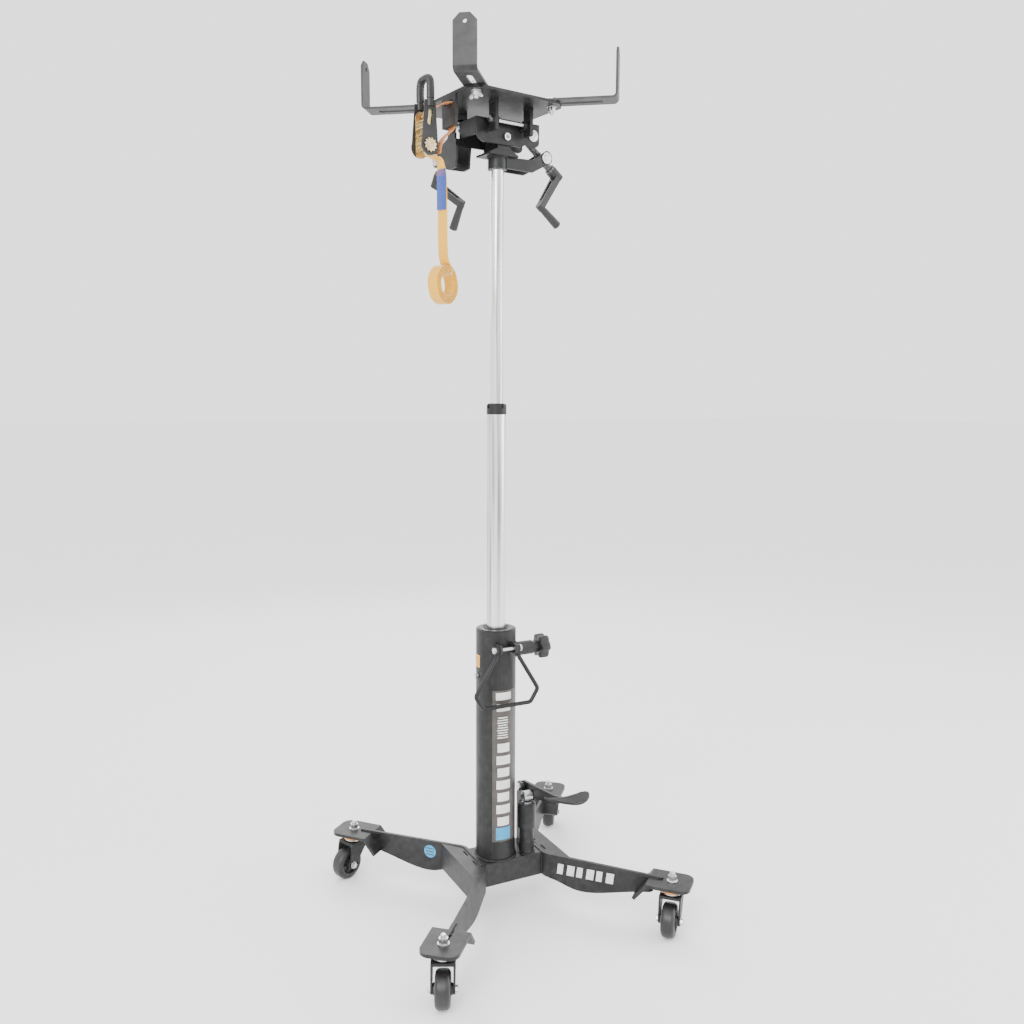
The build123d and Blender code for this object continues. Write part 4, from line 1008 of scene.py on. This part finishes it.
    def build(self) -> None:
        """Dress the mast and add its fine pieces."""
        dress = self.shop.finishes.dress
        dress("coat", "cylinder_tube", "cylinder_gland", "release_valve_body")
        dress("coat", "carry_handle", "stage_1_collar")
        dress("chrome", "ram_stage_1", "ram_stage_2")
        dress("zinc", "handle_pin", "filler_plug")
        self.labels()
        self.rings()
        self.knob()
        self.valve_trim()


# ------------------------------------------------------------------ foot pump
@dataclass
class FootPump:
    """Pump body, sleeve and plunger, pedal lever with its roller, and the pedal's grip pad."""

    shop: Shop
    x: float = 0.072
    y: float = -0.029

    def build(self) -> None:
        """Dress the pump and add its gland nut and welds."""
        dress = self.shop.finishes.dress
        dress("coat", "pump_body", "lever_post", "plunger_sleeve")
        dress("cast", "pedal_lever")
        dress("chrome", "pump_plunger")
        dress("zinc", "lever_pin", "pedal_roller")
        dress("oiled", "return_spring")
        at = Matrix.Translation((self.x, self.y, 0.131))
        foot = [
            at @ Vector((0.0192 * cos(tau * k / 80), 0.0192 * sin(tau * k / 80), 0.001)) for k in range(80)
        ]
        self.shop.piece(
            "pump_weld", *self.shop.tube(foot, Base.ripple(0.0024), 8, True), "cast", "base", "powder_black"
        )
        groove = [(0.0183, 0.012), (0.0195, 0.012), (0.0199, 0.014), (0.0199, 0.026), (0.0195, 0.028),
                  (0.0183, 0.028)]
        self.shop.piece("pump_collar", *self.shop.lathe(groove, at), "cast", "base", "powder_black")
        post = [
            self.shop.tube(self.shop.bead(Vector((x, 0.003, 0.1318)), Vector((x, 0.029, 0.1318))), 0.0022, 8)
            for x in (0.0748, 0.0832)
        ]
        self.shop.piece("post_welds", *self.shop.merge(post), "cast", "base", "powder_black")


# ------------------------------------------------------------------ head
@dataclass
class ScrewLine:
    """One tilt screw: its two trunnions and the thread between them, in head axes."""

    upper: Point
    lower: Point
    body: str
    name: str

    def places(self) -> tuple[Vector, Vector]:
        """Upper and lower trunnion in the row frame."""
        return head_point(*self.upper), head_point(*self.lower)


@dataclass
class Head:
    """Tilting head: socket, tilt frame, screws, trunnions and cranks."""

    shop: Shop
    side: ScrewLine = field(default_factory=lambda: ScrewLine(
        (0.074, 0.0, 1.8535), (0.1255, 0.0, 1.8146), "side_crank", "side"))
    fore: ScrewLine = field(default_factory=lambda: ScrewLine(
        (-0.072, 0.067, 1.880), (-0.072, 0.118, 1.806), "fore_crank", "fore"))
    screw_radius: float = 0.007
    lead: float = 0.004

    def thread(self, line: ScrewLine) -> None:
        """Trapezoid thread on the stretch of screw between the trunnions.

        Args:
            line: The screw to cut.
        """
        up, low = line.places()
        way = (low - up).normalized()
        turn = Matrix.Translation(up + way * 0.0125) @ along(way)
        length = (low - up).length - 0.030
        steps = 22
        count = max(2, int(length / self.lead * steps))
        path = [
            turn @ Vector((
                (self.screw_radius + 0.0002) * cos(tau * i / steps),
                (self.screw_radius + 0.0002) * sin(tau * i / steps),
                self.lead * i / steps,
            ))
            for i in range(count)
        ]
        self.shop.piece(
            f"{line.name}_thread", *self.shop.tube(path, 0.0009, 6), "oiled", line.body, "oiled_steel"
        )

    def caps(self) -> None:
        """Retaining rings on the four trunnions."""
        c, s = cos(HEAD_YAW), sin(HEAD_YAW)
        back, right = Vector((-s, c, 0)), Vector((c, s, 0))
        rows = [
            ((0.074, 0.0, 1.8535), back, 0.0394, "side_upper_trunnion"),
            ((0.1255, 0.0, 1.8146), back, 0.0234, "side_lower_trunnion"),
            ((-0.072, 0.118, 1.806), right, 0.0234, "fore_lower_trunnion"),
            ((-0.072, 0.067, 1.880), right, 0.0254, "fore_upper_trunnion"),
        ]
        for place, way, reach, body in rows:
            shape = []
            for side in (-1, 1):
                turn = Matrix.Translation(head_point(*place) + way * side * reach) @ along(way * side)
                ring = [(0.0045, -0.0004), (0.0085, -0.0004), (0.0090, 0.0002), (0.0082, 0.0007),
                        (0.0048, 0.0007)]
                shape.append(self.shop.lathe(ring, turn, 36))
            self.shop.piece(f"{body}_rings", *self.shop.merge(shape), "zinc", body, "bright_zinc")

    def welds(self) -> None:
        """Fillet welds of the socket and of the tilt frame's end wall."""
        ring = [
            head_point(0.0226 * cos(tau * k / 90), 0.0226 * sin(tau * k / 90), 1.8018) for k in range(90)
        ]
        self.shop.piece(
            "socket_weld", *self.shop.tube(ring, Base.ripple(0.0022), 8, True), "cast", "head", "powder_black"
        )
        beads = []
        for y in (-0.0295, 0.0295):
            for x in (-0.0738,):
                a, b = head_point(x, y, 1.834), head_point(x, y, 1.866)
                beads.append(self.shop.tube(self.shop.bead(a, b), 0.0022, 8))
        self.shop.piece("frame_welds", *self.shop.merge(beads), "cast", "tilt_frame", "powder_black")

    def build(self) -> None:
        """Dress the head and add its fine pieces."""
        dress = self.shop.finishes.dress
        dress("coat", "head_socket", "tilt_frame")
        dress("zinc", "tilt_bolt", "hinge_rod", "side_upper_trunnion", "side_lower_trunnion",
              "fore_upper_trunnion", "fore_lower_trunnion")
        dress("oiled", "side_tilt_screw", "fore_tilt_screw")
        dress("plastic", "side_crank", "fore_crank")
        for line in (self.side, self.fore):
            self.thread(line)
        self.caps()
        self.welds()


# ------------------------------------------------------------------ saddle
@dataclass
class Saddle:
    """Saddle plate, four slotted corner arms and their wing-nut fixings."""

    shop: Shop
    centre: Point = (-0.022, 0.0, 1.904)
    bolt_circle: float = 0.142
    arm_top: float = 1.9153

    def wing_nut(self, at: Vector, turn: float) -> tuple[list[Vector], list[tuple[int, ...]]]:
        """Round-winged nut, hanging under the plate.

        Args:
            at: Place of the nut's upper face, on the bolt.
            turn: Angle of its wings about the bolt.

        Returns:
            Vertices and faces.
        """
        place = Matrix.Translation(at) @ Matrix.Rotation(turn, 4, "Z")
        hub = self.shop.lathe(
            [(0.0052, 0.0), (0.0088, 0.0), (0.0080, -0.0085), (0.0070, -0.0105), (0.0052, -0.0105)], place, 32
        )
        shape = [hub]
        for side in (-1, 1):
            wing = [(0.0060, 0.0), (0.0105, 0.0012), (0.0165, 0.0065), (0.0182, 0.0118), (0.0160, 0.0146),
                    (0.0122, 0.0142), (0.0090, 0.0108), (0.0062, 0.0092)]
            face = place @ Matrix.Rotation(pi / 2, 4, "X")
            outline = [(side * x, -y) for x, y in wing]
            shape.append(self.shop.prism(outline if side > 0 else outline[::-1], -0.0016, 0.0016, face))
        return self.shop.merge(shape)

    def fixings(self) -> None:
        """Bolts through the arm slots, each with its washer and wing nut."""
        shape = []
        for k in range(4):
            a = pi / 4 + k * pi / 2
            x = self.centre[0] + self.bolt_circle * cos(a)
            y = self.bolt_circle * sin(a)
            top, under = head_point(x, y, self.arm_top), head_point(x, y, self.centre[2])
            place = Matrix.Translation(top)
            head_flat = [(0.0105 * cos(tau * j / 6 + a), 0.0105 * sin(tau * j / 6 + a)) for j in range(6)]
            disc = [(0.0, 0.0005), (0.0110, 0.0005), (0.0110, 0.0020), (0.0, 0.0020)]
            shape.append(self.shop.lathe(disc, place, 36))
            shape.append(self.shop.prism(head_flat, 0.0020, 0.0068, place))
            low = Matrix.Translation(under)
            shape.append(self.shop.lathe(
                [(0.0, -0.0168), (0.0040, -0.0168), (0.0048, -0.0160), (0.0048, 0.0110), (0.0, 0.0110)],
                low, 24,
            ))
            washer = [(0.0052, 0.0), (0.0110, 0.0), (0.0110, -0.0015), (0.0052, -0.0015)]
            shape.append(self.shop.lathe(washer, low, 36))
            shape.append(self.wing_nut(under - Vector((0, 0, 0.0015)), a + 0.6 * k))
        piece = self.shop.piece(
            "wing_nuts_and_bolts", *self.shop.merge(shape), "zinc", "saddle", "bright_zinc", True, 0.0004
        )
        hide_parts("wing_bolts")

    def welds(self) -> None:
        """Welds of the lugs, brackets and strap flange under the plate."""
        beads = []
        for x in (-0.047, 0.047):
            for side in (-0.0042, 0.0042):
                a, b = head_point(x + side, -0.066, 1.9034), head_point(x + side, -0.044, 1.9034)
                beads.append(self.shop.tube(self.shop.bead(a, b), 0.0020, 8))
        for x in (-0.0938, -0.0502):
            a, b = head_point(x, 0.052, 1.9034), head_point(x, 0.082, 1.9034)
            beads.append(self.shop.tube(self.shop.bead(a, b), 0.0020, 8))
        a, b = head_point(-0.1428, -0.056, 1.9034), head_point(-0.1428, -0.008, 1.9034)
        beads.append(self.shop.tube(self.shop.bead(a, b), 0.0024, 8))
        self.shop.piece("saddle_welds", *self.shop.merge(beads), "cast", "saddle", "powder_black")

    def build(self) -> None:
        """Dress the saddle and add its fixings."""
        self.shop.finishes.dress("coat", "saddle_plate")
        for corner in Corner:
            self.shop.finishes.dress("coat", f"corner_arm_{corner.value[0]}")
        self.fixings()
        self.welds()


# ------------------------------------------------------------------ ratchet and strap
@dataclass
class RatchetStrap:
    """Ratchet buckle with its toothed wheels and pawl, and the webbing on it."""

    shop: Shop
    spool: Point = (-0.196, -0.010, 1.796)
    wheel_radius: float = 0.0155
    wheel_out: float = 0.0247
    teeth: int = 11
    width: float = 0.025
    thick: float = 0.0016
    roll_centre: Point = (-0.164, -0.030, 1.505)
    roll_outer: float = 0.0430
    roll_inner: float = 0.0245
    turns: int = 7
    turned: float = 26.0

    def toothed(self) -> None:
        """Two ratchet wheels outside the handle's side plates."""
        outline = []
        for k in range(self.teeth):
            a = tau * k / self.teeth
            step = tau / self.teeth
            for inset, share in ((0.0, 0.0), (0.0010, 0.30), (0.0040, 0.95)):
                r, turn = self.wheel_radius - inset, a + share * step
                outline.append((r * cos(turn), r * sin(turn)))
        shape = []
        c, s = cos(HEAD_YAW), sin(HEAD_YAW)
        for side in (-1, 1):
            end = head_point(*self.spool) + Vector((-s, c, 0)) * side * self.wheel_out
            at = Matrix.Translation(end) @ along((-s, c, 0))
            shape.append(self.shop.prism(outline, -0.0011, 0.0011, at))
            cap = [(0.0, 0.0), (0.0072, 0.0), (0.0072, side * 0.0020), (0.0, side * 0.0024)]
            shape.append(self.shop.lathe(cap, at, 32))
        self.shop.piece(
            "ratchet_wheels", *self.shop.merge(shape), "yellow_zinc", "ratchet_spool", "yellow_zinc",
            True, 0.0002,
        )

    def pawl(self) -> None:
        """Sliding pawl plate, its spring and cross pins in the frame."""
        shape = []
        c, s = cos(HEAD_YAW), sin(HEAD_YAW)
        place = Matrix.Translation(head_point(-0.196, -0.010, 1.822)) @ Matrix.Rotation(HEAD_YAW, 4, "Z")
        bar = [(-0.0065, -0.0160), (0.0065, -0.0160), (0.0065, 0.0160), (-0.0065, 0.0160)]
        shape.append(self.shop.prism(bar, -0.0011, 0.0011, place))
        for k in (-1, 1):
            coil = [
                place @ Vector((
                    0.0035 * cos(tau * i / 12), 0.0070 * k + 0.0035 * sin(tau * i / 12), 0.002 + 0.00022 * i
                ))
                for i in range(84)
            ]
            shape.append(self.shop.tube(coil, 0.0006, 6))
        for z in (1.812, 1.850):
            a, b = head_point(-0.200, -0.0292, z), head_point(-0.200, 0.0092, z)
            shape.append(self.shop.tube([a, a.lerp(b, 0.5), b], 0.0028, 14))
        self.shop.piece(
            "ratchet_pawl", *self.shop.merge(shape), "yellow_zinc", "saddle", "yellow_zinc", True, 0.0002
        )

    def handle_pad(self) -> None:
        """Rounded finger grip moulded over the handle's loop."""
        left = [(-0.194, -0.0318, 1.892), (-0.194, -0.0318, 1.918), (-0.194, -0.0285, 1.9315),
                (-0.194, -0.020, 1.9365)]
        right = [(-0.194, 0.000, 1.9365), (-0.194, 0.0085, 1.9315), (-0.194, 0.0118, 1.918),
                 (-0.194, 0.0118, 1.892)]
        line = [head_point(*p) for p in smooth_path(left + right, 8)]
        sides, verts, faces = 20, [], []
        ahead = Vector((cos(HEAD_YAW), sin(HEAD_YAW), 0))
        n = len(line)
        for i, at in enumerate(line):
            way = (line[min(i + 1, n - 1)] - line[max(i - 1, 0)]).normalized()
            out = way.cross(ahead).normalized()
            swell = 1 + 0.05 * sin(i * 1.9) * (0.15 < i / n < 0.85)
            verts += [
                at + ahead * 0.0092 * swell * cos(tau * k / sides)
                + out * 0.0068 * swell * sin(tau * k / sides)
                for k in range(sides)
            ]
        faces = [
            (i * sides + k, i * sides + (k + 1) % sides, (i + 1) * sides + (k + 1) % sides,
             (i + 1) * sides + k)
            for i in range(n - 1) for k in range(sides)
        ]
        faces += [tuple(range(sides))[::-1], tuple(range((n - 1) * sides, n * sides))]
        self.shop.piece("ratchet_grip_cover", verts, faces, "plastic", "ratchet_handle", "black_plastic")

    def twist(self, z: float) -> float:
        """Turn of the webbing about the vertical at a height, away from the flange."""
        share = min(max((1.775 - z) / 0.045, 0.0), 1.0)
        return radians(self.turned) * share * share * (3 - 2 * share)

    def across(self, z: float) -> Vector:
        """Direction across the webbing at a height, in head axes."""
        turn = self.twist(z)
        return Vector((-sin(turn), cos(turn), 0.0))

    def ahead(self, z: float) -> Vector:
        """Direction out of the webbing's hidden face at a height, in head axes."""
        turn = self.twist(z)
        return Vector((cos(turn), sin(turn), 0.0))

    def on_front(self, across: float, lift: float, z: float) -> Vector:
        """Point on the front face of the hanging webbing, in head axes."""
        return Vector((-0.1642, -0.0285, z)) + self.across(z) * across - self.ahead(z) * lift

    def ribbon(
        self, name: str, line: Sequence[Vector], width: float, thick: float, finish: str
    ) -> tuple[bpy.types.Object, float]:
        """Flat woven strip along a line, its width level.

        Args:
            name: Name of the piece.
            line: Middle line, in head axes.
            width: Width of the strip.
            thick: Thickness of the strip.
            finish: Name of the finish.

        Returns:
            The piece and its length.
        """
        verts: list[Vector] = []
        uvs: list[tuple[float, float]] = []
        n, run = len(line), 0.0
        section = [(-1.0, 0.0), (-0.96, 1.0), (0.0, 1.0), (0.96, 1.0), (1.0, 0.0), (0.96, -1.0),
                   (0.0, -1.0), (-0.96, -1.0)]
        for i, at in enumerate(line):
            way = (line[min(i + 1, n - 1)] - line[max(i - 1, 0)]).normalized()
            across = self.across(at.z)
            side = (across - way * across.dot(way)).normalized()
            out = way.cross(side)
            run += (at - line[i - 1]).length if i else 0.0
            for u, v in section:
                p = at + side * (u * width / 2) + out * (v * thick / 2)
                verts.append(head_point(*p))
                uvs.append((0.5 + u / 2, run))
        m = len(section)
        faces: list[tuple[int, ...]] = [
            (i * m + k, i * m + (k + 1) % m, (i + 1) * m + (k + 1) % m, (i + 1) * m + k)
            for i in range(n - 1) for k in range(m)
        ]
        faces += [tuple(range(m))[::-1], tuple(range((n - 1) * m, n * m))]
        mesh = bpy.data.meshes.new(name)
        mesh.from_pydata([tuple(v) for v in verts], [], faces)
        layer = mesh.uv_layers.new(name="webbing")
        for loop in mesh.loops:
            layer.data[loop.index].uv = uvs[loop.vertex_index]
        for polygon in mesh.polygons:
            polygon.use_smooth = True
        mesh.set_sharp_from_angle(angle=radians(50))
        mesh.materials.append(self.shop.finishes[finish])
        piece = bpy.data.objects.new(name, mesh)
        bpy.context.collection.objects.link(piece)
        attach(piece, "saddle")
        log.info("%s: webbing %.3f m long, rides on saddle", name, run)
        return piece, run

    def tail(self) -> None:
        """Loose strap: out of the spool, down under its own weight, and into its roll."""
        x, y, z = self.roll_centre
        hang = smooth_path([
            (-0.1925, -0.0110, 1.7885), (-0.1880, -0.0120, 1.7800), (-0.1760, -0.0150, 1.7755),
            (-0.1665, -0.0200, 1.7700), (-0.1645, -0.0250, 1.7540), (-0.1642, -0.0285, 1.7240),
            (-0.1640, -0.0300, 1.6600), (-0.1638, -0.0302, 1.6000), (-0.1622, -0.0295, 1.5700),
            (-0.1565, -0.0265, 1.5510),
        ])
        start, steps = radians(66.0), 44
        spiral = []
        ahead, across = self.ahead(z), self.across(z)
        for k in range(self.turns * steps + 1):
            t = k / (self.turns * steps)
            r = self.roll_outer + (self.roll_inner - self.roll_outer) * t
            a = start - tau * self.turns * t
            at = Vector((x, y, z + r * sin(a))) + ahead * (r * cos(a)) + across * (0.0005 * sin(5 * a))
            spiral.append(at)
        piece, run = self.ribbon("strap_webbing", hang[:-1] + spiral, self.width, self.thick, "webbing")
        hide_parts("strap_tail", "strap_roll")

    def anchor(self) -> None:
        """Short sewn strap from the buckle's bar through the flange and back under it."""
        line = smooth_path([
            (-0.1915, -0.0105, 1.8565), (-0.1955, -0.0102, 1.8615), (-0.1905, -0.0103, 1.8672),
            (-0.1800, -0.0130, 1.8740), (-0.1650, -0.0220, 1.8850), (-0.1530, -0.0290, 1.8892),
            (-0.1450, -0.0300, 1.8895), (-0.1402, -0.0300, 1.8860), (-0.1398, -0.0300, 1.8700),
            (-0.1398, -0.0300, 1.8450), (-0.1415, -0.0290, 1.8340), (-0.1500, -0.0260, 1.8250),
            (-0.1605, -0.0235, 1.8130), (-0.1670, -0.0215, 1.7980), (-0.1695, -0.0205, 1.7830),
        ])
        piece, run = self.ribbon("strap_anchor", line, self.width, self.thick, "anchor")

    def tag(self) -> None:
        """Blue tag sewn to the strap, with a slight wave, and the stitches that hold it."""
        heights = (1.7500, 1.7330, 1.7150, 1.6960, 1.6780, 1.6640)
        line = smooth_path([
            tuple(self.on_front(0.0, 0.0026 + 0.0005 * (k % 2), z)) for k, z in enumerate(heights)
        ], 8)
        piece, run = self.ribbon("strap_tag", line, 0.0238, 0.0007, "tag")
        stitches = []
        for row in range(6):
            z = 1.7480 - 0.0022 * row
            for k in range(9):
                y = 0.0022 * (k - 4) + (0.0011 if row % 2 else 0)
                a = head_point(*self.on_front(y, 0.0032, z))
                b = head_point(*self.on_front(y + 0.0015, 0.0032, z - 0.0007))
                stitches.append(self.shop.tube([a, a.lerp(b, 0.5), b], 0.00035, 6))
        self.shop.piece("strap_stitches", *self.shop.merge(stitches), "anchor", "saddle", "orange_webbing")

    def tie(self) -> None:
        """Clear tie through the roll that keeps it wound."""
        x, y, z = self.roll_centre
        a = radians(60.0)
        out = self.ahead(z) * cos(a) + Vector((0, 0, sin(a)))
        mid = Vector((x, y, z)) + out * 0.0338
        path = []
        for k in range(48):
            t = tau * k / 48
            path.append(head_point(*(mid + out * 0.0106 * cos(t) + self.across(z) * 0.0140 * sin(t))))
        self.shop.piece(
            "roll_tie", *self.shop.tube(path, 0.0008, 8, True), "print", "saddle", "orange_webbing"
        )

    def build(self) -> None:
        """Dress the buckle and add its fine pieces and the webbing."""
        self.shop.finishes.dress("yellow_zinc", "ratchet_frame", "ratchet_spool")
        self.shop.finishes.dress("plastic", "ratchet_handle")
        self.toothed()
        self.pawl()
        self.handle_pad()
        self.tail()
        self.anchor()
        self.tag()
        self.tie()


# ------------------------------------------------------------------ studio
@dataclass
class Studio:
    """Plain pale floor, soft lights and the camera."""

    eye: Point = (-1.005, -2.049, 1.268)
    tilt: float = 82.98
    heading: float = -27.07
    roll: float = 0.28
    lens: float = 33.85

    def camera(self) -> None:
        """Set up the camera."""
        data = bpy.data.cameras.new("camera")
        data.lens = self.lens
        data.sensor_width = 36.0
        data.dof.use_dof = False
        piece = bpy.data.objects.new("camera", data)
        bpy.context.collection.objects.link(piece)
        piece.matrix_world = (
            Matrix.Translation(self.eye)
            @ Matrix.Rotation(radians(self.heading), 4, "Z")
            @ Matrix.Rotation(radians(self.tilt), 4, "X")
            @ Matrix.Rotation(radians(self.roll), 4, "Z")
        )
        bpy.context.scene.camera = piece

    def floor(self) -> None:
        """Pale floor with a faint mottle."""
        mesh = bpy.data.meshes.new("studio_floor")
        mesh.from_pydata([(-40, -40, 0), (40, -40, 0), (40, 40, 0), (-40, 40, 0)], [], [(0, 1, 2, 3)])
        piece = bpy.data.objects.new("studio_floor", mesh)
        bpy.context.collection.objects.link(piece)
        b = NodeBench("pale_floor")
        tone = b.ramp(b.noise(1.5, 3.0), [(0.0, grey(0.93)), (1.0, grey(0.96))])
        b.join(tone, b.shader.inputs["Base Color"])
        b.set("Roughness", 0.85)
        mesh.materials.append(b.material)

    def lights(self) -> None:
        """Even white surroundings and three large soft lamps."""
        world = bpy.data.worlds.new("studio_world")
        world.use_nodes = True
        world.node_tree.nodes["Background"].inputs["Color"].default_value = (1, 1, 1, 1)
        world.node_tree.nodes["Background"].inputs["Strength"].default_value = 2.1
        bpy.context.scene.world = world
        lamps = [
            ("key", (-2.6, -2.4, 3.0), (0, 0, 1.0), 2.2, 140.0),
            ("fill", (3.0, -1.6, 1.8), (0, 0, 0.9), 2.4, 60.0),
            ("rim", (0.6, 3.0, 2.6), (0, 0, 1.2), 2.0, 60.0),
        ]
        for name, at, to, size, power in lamps:
            data = bpy.data.lights.new(name, "AREA")
            data.size = size
            data.energy = power
            lamp = bpy.data.objects.new(name, data)
            bpy.context.collection.objects.link(lamp)
            lamp.matrix_world = Matrix.Translation(at) @ along(Vector(at) - Vector(to))

    def build(self) -> None:
        """Set up the whole studio."""
        self.camera()
        self.floor()
        self.lights()


def main() -> None:
    """Build every sub-assembly and the studio."""
    logging.basicConfig(level=logging.INFO, format="%(name)s %(message)s")
    Studio().build()
    shop = Shop(Finishes())
    for kind in (Base, Casters, Mast, FootPump, Head, Saddle, RatchetStrap):
        assembly = kind(shop)
        assembly.build()
        log.info("%s done", type(assembly).__name__)
    log.info("%d mesh pieces besides the CAD ones", shop.count)


if __name__ == "__main__":
    main()
